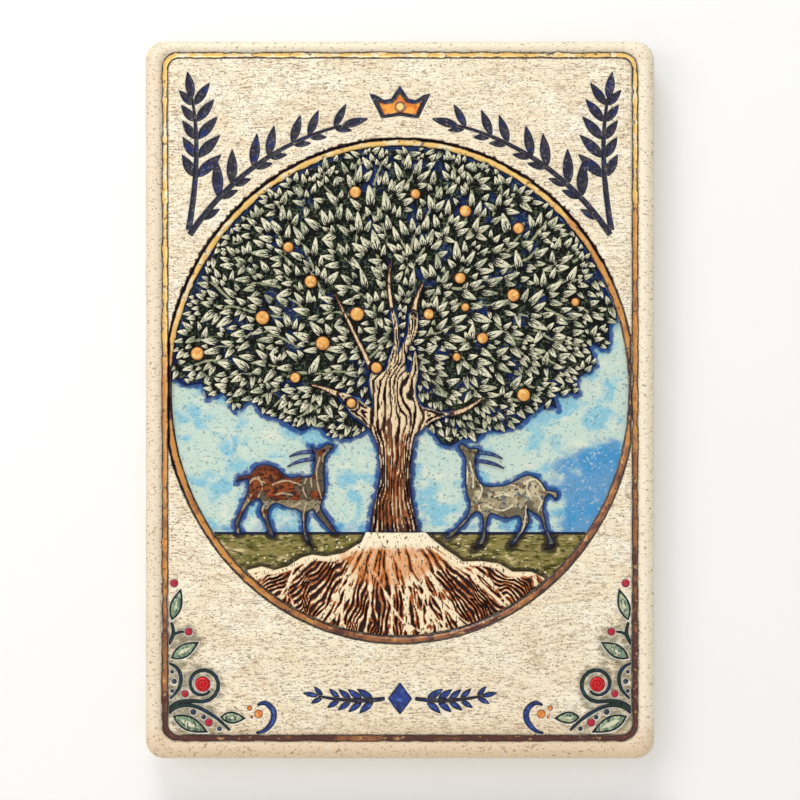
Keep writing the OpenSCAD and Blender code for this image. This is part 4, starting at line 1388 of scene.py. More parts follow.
@dataclass
class Canopy:
    """The crown of leaves: a dark carved ground, twigs, some 850 leaves and the fruit."""

    spray: float = 9.5
    leaf_length: float = 4.9
    leaf_width: float = 2.0
    leaf_height: float = 0.55
    tries: int = 14000
    twig_rise: float = 0.3
    overlap: tuple[float, float] = (0.82, 0.86)
    seed: int = 12

    def __post_init__(self) -> None:
        """Take outlines from the frame."""
        self.ground = Outline.of("foliage")
        self.fruit = Outline.of("fruit")
        self.wood = Outline.of("trunk", "bough_left", "bough_right", "bough_centre",
                               "bough_upper", "bough_outer")
        low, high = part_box("trunk")
        self.heart = np.array([(low.x + high.x) / 2, high.z]) / MM - (0, 9)
        self.low, self.high = heights("foliage")

    def sprays(self) -> tuple[Array, Array]:
        """Lay out the sprays: the points that the leaves fan out from.

        Returns:
            The points, and the outward angle of the spray at each.
        """
        rng = np.random.default_rng(self.seed)
        low, high = self.ground.box(self.spray)
        rows = np.arange(low[1], high[1], self.spray * 0.87)
        p = np.array([(x + (j % 2) * self.spray / 2, z) for j, z in enumerate(rows)
                      for x in np.arange(low[0], high[0], self.spray)])
        p += (rng.random(p.shape) - 0.5) * self.spray * 0.5
        d = p - self.heart
        away = np.arctan2(d[:, 1], d[:, 0]) + 0.9 * (rng.random(len(p)) - 0.5)
        return p, away

    def direction(self, p: Array) -> Array:
        """Angle in which a leaf at each point grows, away from the foot of its spray.

        Args:
            p: Points on the face.

        Returns:
            Angles in radians, anticlockwise from the right.
        """
        middle, away = self.sprays()
        out = np.stack([np.cos(away), np.sin(away)], 1)
        gap = ((p[:, None] - middle) ** 2).sum(2)
        mine = gap.argmin(1)
        d = p - (middle[mine] - out[mine] * self.spray * 0.48)
        return np.arctan2(d[:, 1], d[:, 0])

    def twigs(self) -> Outline:
        """One thin twig through the middle of every spray."""
        lines = None
        for middle, turn in zip(*self.sprays()):
            out = np.array([math.cos(turn), math.sin(turn)])
            bend = np.array([-out[1], out[0]]) * 0.8
            piece = Outline.line(bent(*(tuple(middle + out * k + bend * abs(k) / 4)
                                        for k in (-6.5, -3, 0, 3)), n=3))
            lines = piece if lines is None else lines.joined(piece)
        return lines

    def build_ground(self) -> bpy.types.Object:
        """Make the dark ground with its twigs."""
        twigs = self.twigs()

        def twig(p: Array, depth: Array) -> Array:
            """1 on a twig."""
            return ramp(twigs.distance(p), 0.6, 0.2) * ramp(depth, 1.5, 3.5)

        def height(p: Array, depth: Array) -> Array:
            """Rounded at the edge, scratched and with raised twigs."""
            edge = dome(self.low + 0.2, self.high - 0.15, 0.9)(p, depth)
            rough = 0.25 * (Grain(91).cloud(p, 2.4) - 0.5) * ramp(depth, 0, 1)
            return np.minimum(edge + rough + self.twig_rise * twig(p, depth), self.high + 0.3)
        return Relief(self.ground, self.low, 0.5, waver=0.5).build(
            "foliage_ground", height, {"twig": twig, "edge": edge_mask(1.6)})

    def leaf_places(self) -> tuple[Array, Array, Array]:
        """Lay out the leaves, the large ones first, each clear of those before it.

        Returns:
            Their middles, their directions and their sizes beside a full one.
        """
        rng = np.random.default_rng(self.seed + 1)
        low, high = self.ground.box()
        p = low + rng.random((self.tries, 2)) * (high - low)
        p = p[self.ground.inside(p)]
        depth = self.ground.distance(p)
        most = 0.72 + 0.62 * Grain(95).cloud(p, 12) * ramp(depth, 0, 12)
        size = most * (1.25 - 0.72 * (np.arange(len(p)) / len(p)) ** 0.6)
        size *= 1 + 0.4 * (rng.random(len(p)) - 0.5)
        turn = self.direction(p) + 0.35 * (rng.random(len(p)) - 0.5)
        reach = self.leaf_length / 2 * size
        keep = ((depth > 0.35 * reach) & (self.wood.distance(p) > 0.3 + 0.45 * reach)
                & ~self.wood.inside(p) & ~self.fruit.inside(p)
                & (self.fruit.distance(p) > 0.6 + 0.5 * reach))
        p, turn, size = p[keep], turn[keep], size[keep]
        way = np.stack([np.cos(turn), np.sin(turn)], 1)
        long, wide = self.leaf_length * self.overlap[0], self.leaf_width * self.overlap[1]
        chosen: list[int] = []
        for i in range(len(p)):
            if chosen:
                d = p[i] - p[chosen]
                mean = (size[i] + size[chosen]) / 2
                free = np.ones(len(chosen), bool)
                for w in (way[chosen], way[i][None]):
                    along = (d * w).sum(1) / (long * mean)
                    aside = (d[:, 0] * w[:, 1] - d[:, 1] * w[:, 0]) / (wide * mean)
                    free &= along ** 2 + aside ** 2 > 1
                if not free.all():
                    continue
            chosen.append(i)
        return p[chosen], turn[chosen], size[chosen]

    def blade(self) -> bpy.types.Object:
        """One leaf of length 1 and width 1, with its own values across and along."""
        stations, ribs = 6, (-1.0, -0.68, 0.0, 0.68, 1.0)
        verts, across, along, edge, foot = [], [], [], [], []
        for i in range(stations + 1):
            t = i / stations
            half = 0.5 * math.sin(math.pi * min(0.04 + 0.94 * t, 1) ** 0.75)
            for r in ribs:
                verts.append((t - 0.5, half * r, (1 - 0.5 * r ** 4) * (0.55 + 0.45 * math.sin(
                    math.pi * (0.1 + 0.7 * t)))))
                across.append(r)
                along.append(t)
                edge.append(1.0 if abs(r) == 1 or i in (0, stations) else 0.0)
                foot.append(max(0.0, 1 - t / 0.45))
        n = len(ribs)
        quads = [(i * n + j, (i + 1) * n + j, (i + 1) * n + j + 1, i * n + j + 1)
                 for i in range(stations) for j in range(n - 1)]
        rim = [i * n for i in range(stations + 1)]
        rim += [stations * n + j for j in range(1, n)]
        rim += [i * n + n - 1 for i in range(stations - 1, -1, -1)] + list(range(n - 2, 0, -1))
        tris = [t for a, b, c, d in quads for t in ((a, b, c), (a, c, d))]
        first = len(verts)
        verts += [(verts[i][0], verts[i][1], 0.0) for i in rim]
        m = len(rim)
        for k in range(m):
            a, b, c, d = rim[k], rim[(k + 1) % m], first + k, first + (k + 1) % m
            tris += [(a, c, b), (b, c, d)]
        tris += [(first, first + k + 1, first + k) for k in range(1, m - 1)]
        masks = {key: values + [values[i] for i in rim] for key, values in (
            ("across", across), ("along", along), ("edge", edge), ("foot", foot))}
        return make_object("leaf_blade", verts, tris, masks)

    def tree(self, finish: Finish) -> bpy.types.NodeTree:
        """The geometry nodes that set a blade on every point.

        Args:
            finish: Finish of the leaves.

        Returns:
            The node tree.
        """
        made = bpy.data.node_groups.new("Leaves", "GeometryNodeTree")
        for name, kind, value in (("Points", "NodeSocketGeometry", None),
                                  ("Blade", "NodeSocketObject", None),
                                  ("Length", "NodeSocketFloat", 0.005),
                                  ("Width", "NodeSocketFloat", 0.002),
                                  ("Height", "NodeSocketFloat", 0.001),
                                  ("Seed", "NodeSocketInt", 0)):
            socket = made.interface.new_socket(name, in_out="INPUT", socket_type=kind)
            if value is not None:
                socket.default_value = value
        made.interface.new_socket("Leaves", in_out="OUTPUT", socket_type="NodeSocketGeometry")
        net = Net(made)
        given, out = net.add("NodeGroupInput"), net.add("NodeGroupOutput")
        turn = net.add("GeometryNodeInputNamedAttribute", {"data_type": "FLOAT"}, Name="turn")
        grow = net.add("GeometryNodeInputNamedAttribute", {"data_type": "FLOAT"}, Name="grow")
        plump = net.add("FunctionNodeRandomValue", {"data_type": "FLOAT"}, i2=0.85, i3=1.15,
                        Seed=given.outputs["Seed"]).outputs[1]
        length = net.math("MULTIPLY", given.outputs["Length"], grow.outputs[0])
        width = net.math("MULTIPLY", net.math("MULTIPLY", given.outputs["Width"], plump),
                         net.math("POWER", grow.outputs[0], 0.6))
        scale = net.add("ShaderNodeCombineXYZ", X=length, Y=width,
                        Z=given.outputs["Height"]).outputs[0]
        # The blade is modelled lying flat: it is turned on its own plane and then stood up
        spin = net.add("ShaderNodeCombineXYZ", Z=turn.outputs[0]).outputs[0]
        flat = net.add("FunctionNodeEulerToRotation", i0=spin).outputs[0]
        stand = net.add("FunctionNodeEulerToRotation", i0=(math.pi / 2, 0.0, 0.0)).outputs[0]
        both = net.add("FunctionNodeRotateRotation", {"rotation_space": "GLOBAL"}, i0=flat,
                       i1=stand).outputs[0]
        blade = net.add("GeometryNodeObjectInfo", Object=given.outputs["Blade"])
        spread = net.add("GeometryNodeInstanceOnPoints", Points=given.outputs["Points"],
                         Instance=blade.outputs["Geometry"], Rotation=both, Scale=scale)
        real = net.add("GeometryNodeRealizeInstances", i0=spread.outputs[0])
        painted = net.add("GeometryNodeSetMaterial", i0=real.outputs[0])
        painted.inputs["Material"].default_value = finish.build()
        net.tree.links.new(painted.outputs[0], out.inputs[0])
        return made

    def build_leaves(self) -> bpy.types.Object:
        """Set the leaves with geometry nodes and turn them into a plain mesh."""
        middle, turn, grow = self.leaf_places()
        mesh = bpy.data.meshes.new("leaf_points")
        points = np.stack([middle[:, 0], np.full(len(middle), -self.high + 0.25),
                           middle[:, 1]], 1) * MM
        mesh.from_pydata(points.tolist(), [], [])
        for key, value in (("turn", turn), ("grow", grow)):
            mesh.attributes.new(key, "FLOAT", "POINT").data.foreach_set("value", value)
        holder = add_object("leaf_points", mesh)
        blade = self.blade()
        tree = self.tree(LEAF)
        modifier = holder.modifiers.new("Leaves", "NODES")
        modifier.node_group = tree
        values = {"Blade": blade, "Length": self.leaf_length * MM, "Width": self.leaf_width * MM,
                  "Height": (self.leaf_height + 0.3) * MM, "Seed": self.seed}
        for item in tree.interface.items_tree:
            if item.in_out == "INPUT" and item.name in values:
                modifier[item.identifier] = values[item.name]
        holder.update_tag()
        bpy.context.view_layer.update()
        whole = holder.evaluated_get(bpy.context.evaluated_depsgraph_get())
        made = add_object("leaves", bpy.data.meshes.new_from_object(whole))
        holder.modifiers.remove(modifier)
        for spare in (holder, blade):
            bpy.data.objects.remove(spare)
        made.data.polygons.foreach_set("use_smooth", np.ones(len(made.data.polygons), bool))
        return made

    def build_fruit(self) -> bpy.types.Object:
        """Make the fruit, each a low dome."""
        low, high = heights("fruit")
        return Relief(self.fruit, low, 0.3, grow=0.55).build(
            "amber_fruit", dome(low + 0.25, high, 1.7), {"edge": edge_mask(0.9)})

    def make(self) -> None:
        """Build and dress the ground, the leaves and the fruit."""
        dress(self.build_ground(), FOLIAGE, "plaque", "dark_green_glaze", "foliage")
        dress(self.build_leaves(), LEAF, "plaque", "leaf_slip", "leaves_left", "leaves_right",
              "leaves_top")
        dress(self.build_fruit(), AMBER, "plaque", "gold_glaze", "fruit")


# ---- Deer -------------------------------------------------------------------------------

BROWN_DEER = Finish("brown_slip", (112, 50, 22), coats=(
    Coat((160, 82, 38), Source.MASK, "light", (2, 1.8), 0.4, 0.85, strength=0.7, uneven=1.4),
    Coat((60, 28, 16), size=(1.6, 1.2), low=0.5, high=0.58, strength=0.9),
    Coat((96, 90, 74), Source.MASK, "grey", (1.4, 1.4), 0.4, 0.7, strength=0.85, uneven=1.6),
    Coat((158, 146, 116), Source.MASK, "belly", (1.3, 1.3), 0.4, 0.8, strength=0.8, uneven=1.4),
    Coat((34, 26, 26), size=(0.9, 0.7), low=0.54, high=0.6, strength=0.8),
    Coat((206, 180, 140), Source.MASK, "ridge", (0.9, 0.9), 0.6, 0.9, strength=0.75, uneven=1.6),
    Coat((24, 42, 88), Source.MASK, "edge", (1.4, 1.4), 0.42, 0.75, uneven=1.0),
    Coat((20, 18, 26), Source.MASK, "dark", (1, 1), 0.4, 0.7, uneven=0.2)),
    rough=(0.3, 0.5), gloss=0.1, grit=0.8)

TAN_DEER = Finish("tan_slip", (160, 148, 116), coats=(
    Coat((216, 202, 166), Source.MASK, "light", (2, 1.8), 0.45, 0.9, strength=0.75, uneven=1.6),
    Coat((118, 84, 56), size=(2.6, 2.0), low=0.55, high=0.62, strength=0.85),
    Coat((100, 112, 118), size=(2.0, 1.6), low=0.54, high=0.62, strength=0.75),
    Coat((98, 90, 70), Source.MASK, "grey", (1.4, 1.4), 0.42, 0.75, strength=0.75, uneven=1.6),
    Coat((44, 38, 32), size=(1.0, 0.8), low=0.58, high=0.63, strength=0.85),
    Coat((240, 226, 192), Source.MASK, "ridge", (0.9, 0.9), 0.6, 0.9, strength=0.8, uneven=1.6),
    Coat((26, 44, 84), Source.MASK, "edge", (1.4, 1.4), 0.38, 0.72, uneven=1.0),
    Coat((24, 20, 28), Source.MASK, "dark", (1, 1), 0.4, 0.7, uneven=0.2)),
    rough=(0.3, 0.5), gloss=0.1, grit=0.8)

HORN = Finish("navy_glaze", (44, 58, 112), coats=(
    Coat((86, 116, 170), size=(1.5, 1), low=0.5, high=0.6, strength=0.8),
    Coat((24, 26, 48), Source.MASK, "edge", (1, 1), 0.4, 0.9)),
    rough=(0.25, 0.4), gloss=0.4, grit=0.3)


@dataclass
class Deer:
    """One deer in relief; its marks are placed by shares of its own box, nose side first."""

    node: str
    flip: bool
    finish: Finish
    slot: str
    body_height: float = 1.45
    cell: float = 0.28

    def place(self, u: float, v: float) -> tuple[float, float]:
        """A point at a share u from the nose side and v from the feet."""
        low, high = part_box(self.node)
        u = 1 - u if self.flip else u
        return (low.x + u * (high.x - low.x)) / MM, (low.z + v * (high.z - low.z)) / MM

    def marks(self, *lines: tuple[tuple[float, float], ...]) -> Outline:
        """Several rounded lines in shares of the box."""
        out = None
        for line in lines:
            piece = Outline.line(bent(*[self.place(*q) for q in line], n=6))
            out = piece if out is None else out.joined(piece)
        return out

    def make(self) -> None:
        """Build and dress the deer and its horns."""
        low, high = heights(self.node)
        ridges_drawn = self.marks(
            ((0.17, 0.86), (0.2, 0.72), (0.18, 0.56), (0.14, 0.44)),
            ((0.22, 0.82), (0.25, 0.7), (0.25, 0.58)),
            ((0.16, 0.4), (0.28, 0.2), (0.27, 0.04)),
            ((0.14, 0.36), (0.06, 0.22)),
            ((0.83, 0.5), (0.9, 0.34), (0.95, 0.18), (0.97, 0.1)),
            ((0.72, 0.42), (0.7, 0.24), (0.64, 0.08)),
            ((0.88, 0.56), (0.8, 0.66), (0.7, 0.62)),
            ((0.35, 0.6), (0.5, 0.64), (0.62, 0.6)),
            ((0.36, 0.42), (0.5, 0.37), (0.6, 0.42)),
            ((0.09, 0.93), (0.14, 0.87), (0.13, 0.8)), ((0.3, 0.66), (0.33, 0.56), (0.3, 0.48)),
            ((0.76, 0.68), (0.72, 0.58), (0.76, 0.48)), ((0.44, 0.5), (0.52, 0.52), (0.6, 0.5)),
            ((0.3, 0.42), (0.33, 0.28), (0.32, 0.1)), ((0.86, 0.46), (0.82, 0.34), (0.86, 0.16)))
        low_box, high_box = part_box(self.node)
        tall = (high_box.z - low_box.z) / MM
        wide = (high_box.x - low_box.x) / MM
        eye = np.array(self.place(0.13, 0.925))
        nose = np.array(self.place(0.015, 0.955))
        mouth = self.marks(((0.0, 0.94), (0.05, 0.915)))
        hooves = low_box.z / MM + 0.045 * tall

        def share(p: Array) -> Array:
            """Height of points as a share of the deer's."""
            return (p[:, 1] - low_box.z / MM) / tall

        def ridge(p: Array, depth: Array) -> Array:
            """Raised strokes along the neck, back and legs."""
            return ramp(ridges_drawn.distance(p), 0.55, 0.12) * ramp(depth, 0.15, 0.6)

        def height(p: Array, depth: Array) -> Array:
            """A rounded body with its strokes."""
            body = dome(low + 0.35, low + self.body_height - 0.3, 2.2)(p, depth)
            body -= 0.35 * ramp(np.linalg.norm(p - eye, axis=1), 0.5, 0.2)
            return np.minimum(body + 0.32 * ridge(p, depth), high)

        def light(p: Array, depth: Array) -> Array:
            """Lighter back and chest."""
            v = share(p)
            return ramp(depth, 0.6, 2.4) * (0.5 + 0.5 * ramp(np.abs(v - 0.62), 0.2, 0.02))

        def grey(p: Array, depth: Array) -> Array:
            """Legs, neck and head."""
            u, v = np.abs(p[:, 0] - nose[0]) / wide, share(p)
            patch = 0.5 * (Grain(57).at(p, 2.5, 2.5) - 0.5)
            return np.maximum(ramp(v + patch, 0.5, 0.3), ramp(u + patch, 0.32, 0.18))

        def belly(p: Array, depth: Array) -> Array:
            """Underside of the body."""
            return ramp(np.abs(share(p) - 0.4), 0.08, 0.02)

        def dark(p: Array, depth: Array) -> Array:
            """Eye, nose, mouth and hooves."""
            spot = ramp(np.linalg.norm(p - eye, axis=1), 0.62, 0.4)
            spot = np.maximum(spot, ramp(np.linalg.norm(p - nose, axis=1), 0.8, 0.4))
            spot = np.maximum(spot, ramp(mouth.distance(p), 0.3, 0.1))
            return np.maximum(spot, ramp(p[:, 1], hooves + 1.2, hooves))
        relief = Relief(Outline.of(self.node), low, self.cell, waver=0.12)
        dress(relief.build(f"{self.node}_relief", height, {
            "ridge": ridge, "light": light, "grey": grey, "belly": belly, "dark": dark,
            "edge": edge_mask(0.95)}),
            self.finish, "plaque", self.slot, self.node)
        horns = f"{self.node}_horns"
        low, high = heights(horns)
        dress(Relief(Outline.of(horns), low, 0.25).build(
            f"{horns}_relief", dome(low + 0.2, high, 0.7), {"edge": edge_mask(0.5)}),
            HORN, "plaque", "navy_glaze", horns)


# ---- Glazed strokes in the field --------------------------------------------------------

INK = Finish("dark_stroke", (38, 38, 58), coats=(
    Coat((26, 46, 112), size=(4.5, 3.5), low=0.54, high=0.64, strength=0.75),
    Coat((74, 66, 66), size=(1.6, 1.1), low=0.52, high=0.62, strength=0.8),
    Coat((22, 20, 30), Source.MASK, "edge", (1.2, 1.2), 0.35, 0.9, uneven=0.9),
    Coat((140, 134, 140), size=(0.8, 0.7), low=0.62, high=0.68, strength=0.6)),
    rough=(0.22, 0.4), gloss=0.35, grit=0.8)

BLUE = Finish("blue_glaze", (40, 62, 136), coats=(
    Coat((82, 112, 184), size=(1.8, 1.4), low=0.52, high=0.64, strength=0.8),
    Coat((44, 42, 62), size=(1.4, 1.0), low=0.54, high=0.62, strength=0.8),
    Coat((22, 22, 36), Source.MASK, "edge", (1.2, 1.2), 0.35, 0.8, uneven=0.9)),
    rough=(0.22, 0.4), gloss=0.3, grit=0.6)

ORANGE = Finish("orange_glaze", (232, 124, 40), coats=(
    Coat((252, 176, 74), size=(2, 1.6), low=0.44, high=0.58, strength=0.9),
    Coat((196, 66, 30), size=(2, 2.6), low=0.56, high=0.68, strength=0.8),
    Coat((104, 38, 24), Source.MASK, "edge", (1.4, 1.4), 0.55, 0.95, uneven=0.6)),
    rough=(0.2, 0.35), gloss=0.5, grit=0.3)

JEWEL = Finish("jewel_glaze", (252, 208, 108), coats=(
    Coat((255, 232, 160), size=(1.2, 1.2), low=0.48, high=0.6, strength=0.8),
    Coat((160, 92, 34), Source.MASK, "edge", (0.9, 0.9), 0.4, 0.9)),
    rough=(0.15, 0.3), gloss=0.6, grit=0.2)

STEM = Finish("stem_glaze", (30, 50, 44), coats=(
    Coat((36, 62, 108), size=(4, 4), low=0.52, high=0.64, strength=0.8),
    Coat((88, 116, 92), size=(1.6, 1.0), low=0.6, high=0.7, strength=0.7),
    Coat((18, 26, 26), Source.MASK, "edge", (1.4, 1.4), 0.45, 0.9, uneven=0.7)),
    rough=(0.24, 0.42), gloss=0.35, grit=0.4)

SAGE = Finish("green_glaze", (128, 150, 122), coats=(
    Coat((190, 198, 164), size=(2.2, 1.6), low=0.48, high=0.6, strength=0.85),
    Coat((60, 88, 80), size=(0.7, 2.0), low=0.54, high=0.62, strength=0.85),
    Coat((238, 230, 200), Source.MASK, "vein", (1.0, 1.0), 0.5, 0.85, strength=0.8, uneven=1.0),
    Coat((28, 52, 50), size=(0.6, 1.8), low=0.59, high=0.64, strength=0.9),
    Coat((18, 32, 32), Source.MASK, "edge", (1.2, 1.2), 0.28, 0.55, uneven=0.7)),
    rough=(0.24, 0.42), gloss=0.25, grit=0.5)

CRIMSON = Finish("red_glaze", (176, 26, 50), coats=(
    Coat((222, 74, 88), size=(1.1, 1.1), low=0.56, high=0.66, strength=0.75),
    Coat((216, 24, 30), Source.MASK, "bright", (2, 2), 0.3, 0.7),
    Coat((92, 10, 28), Source.MASK, "groove", (1, 1), 0.4, 0.8, uneven=0.3),
    Coat((80, 16, 30), Source.MASK, "edge", (1.2, 1.2), 0.6, 0.95, uneven=0.5)),
    rough=(0.15, 0.3), gloss=0.6, grit=0.2)

SEED = Finish("seed_glaze", (38, 52, 78), coats=(
    Coat((84, 104, 122), size=(0.9, 0.9), low=0.52, high=0.62, strength=0.7),
    Coat((20, 26, 34), Source.MASK, "edge", (1, 1), 0.4, 0.9)),
    rough=(0.2, 0.35), gloss=0.45, grit=0.3)

PETAL = Finish("petal_glaze", (220, 124, 54), coats=(
    Coat((246, 176, 96), size=(1.2, 1.2), low=0.48, high=0.6, strength=0.8),
    Coat((132, 62, 30), Source.MASK, "edge", (1, 1), 0.4, 0.9, uneven=0.6)),
    rough=(0.2, 0.35), gloss=0.45, grit=0.3)


class Fill(Enum):
    """How the glaze stands in a cut stroke."""

    SUNK = "hollow, drawn up at its edges"
    BEAD = "a round drop that stands above its cut"
    COIL = "a drop with a spiral cut in it"
    BLADE = "a leaf with a raised vein"


@dataclass
class Stroke:
    """The glaze in one group of cuts."""

    node: str
    finish: Finish
    slot: str
    fill: Fill = Fill.SUNK
    cell: float = 0.26
    stand: float = 0.45
    turns: float = 0.62
    waver: float = 0.12
    edge: float = 0.6

    def spiral(self, p: Array) -> Array:
        """1 in the groove of a spiral around the middle of the stroke's box."""
        low, high = Outline.of(self.node).box()
        d = p - (low + high) / 2
        turn = np.arctan2(d[:, 1], d[:, 0]) / (2 * math.pi)
        return ramp(ridges(np.linalg.norm(d, axis=1) / self.turns / 1.4 - turn), 0.72, 0.95)

    def build(self) -> bpy.types.Object:
        """Make the glaze."""
        low, high = heights(self.node)
        lines = Outline.of(self.node)
        masks: dict[str, Rule] = {"edge": edge_mask(self.edge)}
        if self.fill is Fill.SUNK:
            def height(p: Array, depth: Array) -> Array:
                """Drawn up at the edge."""
                return high + 0.1 - 0.22 * ramp(depth, 0.0, 0.6) + 0.08 * Grain(17).at(p, 2, 2)
        elif self.fill is Fill.BLADE:
            far = 1.35

            def height(p: Array, depth: Array) -> Array:
                """Rising to the vein."""
                return high - 0.1 + 0.3 * ramp(depth, 0.2, far)
            masks["vein"] = lambda p, depth: ramp(depth, far - 0.2, far + 0.35)
        else:
            rise = dome(high - 0.15, high + self.stand, 1.1)

            def height(p: Array, depth: Array) -> Array:
                """A drop."""
                cut = self.spiral(p) if self.fill is Fill.COIL else 0.0
                return rise(p, depth) - 0.3 * cut
            coil: Rule = lambda p, depth: self.spiral(p) * ramp(depth, 0.2, 0.5)
            zero: Rule = lambda p, depth: np.zeros(len(p))
            masks["groove"] = coil if self.fill is Fill.COIL else zero
            masks["bright"] = (lambda p, depth: np.ones(len(p))) if (
                self.fill is Fill.COIL) else zero
        return Relief(lines, low, self.cell, waver=self.waver).build(
            f"{self.node}_glaze", height, masks)

    def make(self) -> None:
        """Build and dress the glaze."""
        dress(self.build(), self.finish, "plaque", self.slot, self.node)


@dataclass
class Ornament:
    """All the glazed strokes of the field: sprigs, crown, foot ornament and vines."""

    def strokes(self) -> list[Stroke]:
        """Every group of strokes, each with its own glaze."""
        out = [Stroke("crown_rim", INK, "navy_glaze"),
               Stroke("crown_fill", ORANGE, "orange_glaze"),
               Stroke("crown_jewel", JEWEL, "gold_glaze", Fill.BEAD),
               Stroke("foot_sprig", INK, "navy_glaze"), Stroke("foot_leaves", BLUE, "blue_glaze"),
               Stroke("foot_lozenge", BLUE, "blue_glaze")]
        for side in ("left", "right"):
            out += [Stroke(f"sprig_{side}", INK, "navy_glaze"),
                    Stroke(f"sprig_{side}_leaves", INK, "navy_glaze"),
                    Stroke(f"vine_{side}", STEM, "stem_glaze"),
                    Stroke(f"vine_{side}_leaves", SAGE, "green_glaze", Fill.BLADE, edge=0.95),
                    Stroke(f"berries_{side}", CRIMSON, "red_glaze", Fill.BEAD),
                    Stroke(f"seeds_{side}", SEED, "navy_glaze", Fill.BEAD, stand=0.2),
                    Stroke(f"rosette_{side}", CRIMSON, "red_glaze", Fill.COIL),
                    Stroke(f"blossom_{side}", PETAL, "orange_glaze", Fill.BEAD, stand=0.3),
                    Stroke(f"tendril_{side}", BLUE, "blue_glaze")]
        return out

    def make(self) -> None:
        """Build and dress every stroke."""
        for stroke in self.strokes():
            stroke.make()


# ---- Hanger -----------------------------------------------------------------------------

LINEN = Finish("linen_disc", (206, 198, 178), coats=(
    Coat((180, 170, 146), size=(0.6, 8), low=0.45, high=0.6, strength=0.7),
    Coat((224, 218, 200), size=(8, 0.6), low=0.45, high=0.6, strength=0.7),
    Coat((150, 132, 100), size=(9, 9), low=0.55, high=0.7, strength=0.5)),
    rough=(0.8, 0.95), grit=0.8, grit_size=0.5)

TIN = Finish("sheet_metal", (188, 188, 184), coats=(
    Coat((150, 148, 142), size=(0.5, 6), low=0.45, high=0.62, strength=0.5),
    Coat((132, 118, 98), size=(3, 3), low=0.6, high=0.7, strength=0.5)),
    rough=(0.3, 0.5), metallic=1.0, grit=0.25, grit_size=0.4)

BRASS = Finish("ring_brass", (214, 176, 106), coats=(
    Coat((180, 138, 76), size=(2.6, 2.6), low=0.45, high=0.62, strength=0.7),
    Coat((112, 84, 52), size=(1.8, 1.8), low=0.6, high=0.7, strength=0.6)),
    rough=(0.24, 0.42), metallic=1.0, grit=0.2, grit_size=0.4)


@dataclass
class Hanger:
    """The glued disc, the strap and the swinging ring on the back; their CAD shapes stay."""

    finishes: tuple[tuple[str, Finish], ...] = (
        ("hanger_disc", LINEN), ("hanger_strap", TIN), ("hanging_ring", BRASS))

    def make(self) -> None:
        """Dress the three CAD nodes."""
        for node, finish in self.finishes:
            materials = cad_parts[node].data.materials
            materials.clear()
            materials.append(finish.build())
            LOG.info("%s: dressed", node)


# ---- Studio -----------------------------------------------------------------------------

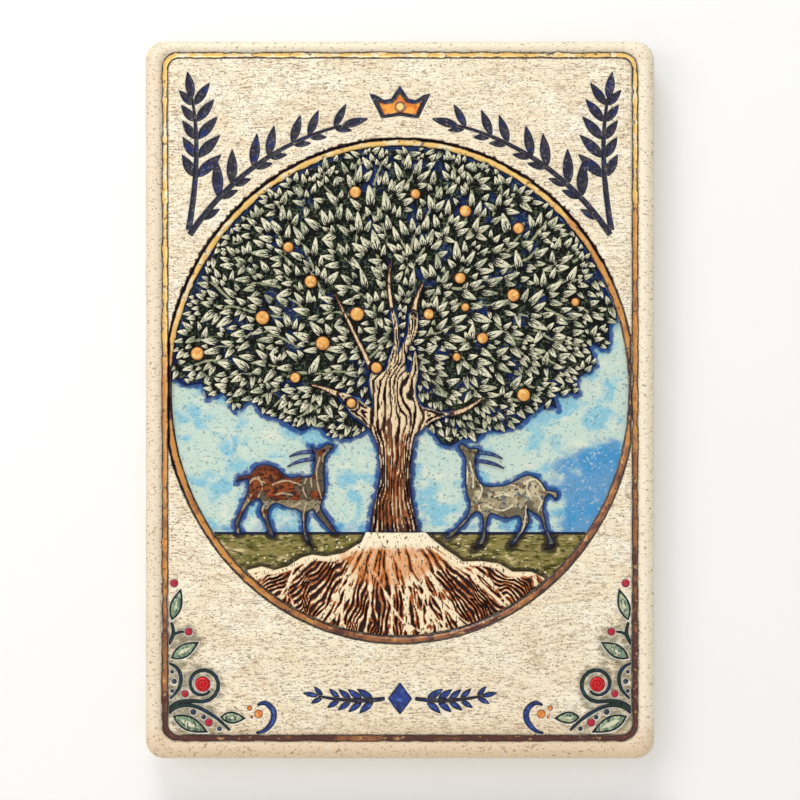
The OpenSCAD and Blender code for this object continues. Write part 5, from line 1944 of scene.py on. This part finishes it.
@dataclass
class Studio:
    """White wall, pale floor, soft light and the camera, none of it part of the plaque."""

    lens: float = 85.0
    sensor: float = 36.0
    light: float = 4.0
    share: float = 0.9025
    ambient: float = 0.62
    reach: float = 3.0
    gap: float = 0.0002
    drop: float = 0.014

    def build(self) -> None:
        """Set the wall, the floor, the lights and the camera."""
        low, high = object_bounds()
        tall = high.z - low.z
        middle = (low + high) / 2
        self.backdrop()
        self.lamp("key_light", (-0.2, -0.5, 0.85), 0.5, self.light)
        self.lamp("side_light", (-0.75, -0.8, 0.25), 0.6, self.light * 0.5)
        self.surroundings()
        data = bpy.data.cameras.new("camera")
        data.lens, data.sensor_width = self.lens, self.sensor
        camera = add_object("camera", data)
        away = tall / self.share * self.lens / self.sensor
        camera.location = (0, low.y - away, middle.z)
        camera.rotation_euler = (math.pi / 2, 0, 0)
        data.clip_start, data.clip_end = 0.01, 20
        bpy.context.scene.camera = camera
        bpy.context.scene.view_settings.view_transform = "Standard"

    def lamp(self, name: str, at: tuple[float, float, float], size: float, power: float) -> None:
        """Hang one square soft light that looks at the plaque."""
        data = bpy.data.lights.new(name, "AREA")
        data.size, data.energy = size, power
        lamp = add_object(name, data)
        lamp.location = at
        lamp.rotation_euler = (-Vector(at)).to_track_quat("-Z", "Y").to_euler()

    def surroundings(self) -> None:
        """Make the world white to the camera and a softer light for the clay."""
        world = bpy.data.worlds.new("studio")
        bpy.context.scene.world = world
        world.use_nodes = True
        net = Net(world.node_tree)
        seen = net.add("ShaderNodeLightPath").outputs["Is Camera Ray"]
        strength = net.math("ADD", net.math("MULTIPLY", seen, 1.0 - self.ambient), self.ambient)
        ground = world.node_tree.nodes["Background"]
        ground.inputs["Color"].default_value = (1, 1, 1, 1)
        net.tree.links.new(strength, ground.inputs["Strength"])

    def backdrop(self) -> None:
        """Make the wall, which only the camera sees and only from its front, and the floor."""
        material = bpy.data.materials.new("white_wall")
        material.use_nodes = True
        net = Net(material.node_tree)
        material.node_tree.nodes.remove(material.node_tree.nodes["Principled BSDF"])
        white = net.add("ShaderNodeBsdfDiffuse", Color=(0.97, 0.97, 0.97, 1)).outputs[0]
        none = net.add("ShaderNodeBsdfTransparent").outputs[0]
        behind = net.add("ShaderNodeNewGeometry").outputs["Backfacing"]
        seen = net.add("ShaderNodeLightPath").outputs["Is Camera Ray"]
        hidden = net.math("MAXIMUM", behind, net.math("SUBTRACT", 1.0, seen))
        mixed = net.add("ShaderNodeMixShader", i0=hidden, i1=white, i2=none).outputs[0]
        net.tree.links.new(mixed, material.node_tree.nodes["Material Output"].inputs[0])
        low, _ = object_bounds()
        under, r, y = low.z - self.drop, self.reach, self.gap
        wall = make_object("wall", [(-r, y, -r / 2), (r, y, -r / 2), (r, y, r), (-r, y, r)],
                           [(0, 1, 2), (0, 2, 3)])
        wall.data.materials.append(material)
        floor = make_object("floor", [(-r, -r, under), (r, -r, under), (r, r, under),
                                      (-r, r, under)], [(0, 1, 2), (0, 2, 3)])
        pale = bpy.data.materials.new("pale_floor")
        pale.use_nodes = True
        shader = pale.node_tree.nodes["Principled BSDF"]
        shader.inputs["Base Color"].default_value = (0.9, 0.89, 0.87, 1)
        shader.inputs["Roughness"].default_value = 0.8
        floor.data.materials.append(pale)
        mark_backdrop(wall, floor)


def main() -> None:
    """Build the plaque piece by piece and set the scene."""
    logging.basicConfig(level=logging.INFO, format="%(message)s")
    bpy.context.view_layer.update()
    build_patterns()
    slab = Slab()
    dress(slab.build(), slab.finish, "plaque", "clay", "slab")
    GoldLines().make()
    Ground().make()
    Tree().make()
    Canopy().make()
    Deer("deer_left", True, BROWN_DEER, "brown_slip").make()
    Deer("deer_right", False, TAN_DEER, "tan_slip").make()
    Ornament().make()
    Hanger().make()
    Studio().build()


if __name__ == "__main__":
    main()
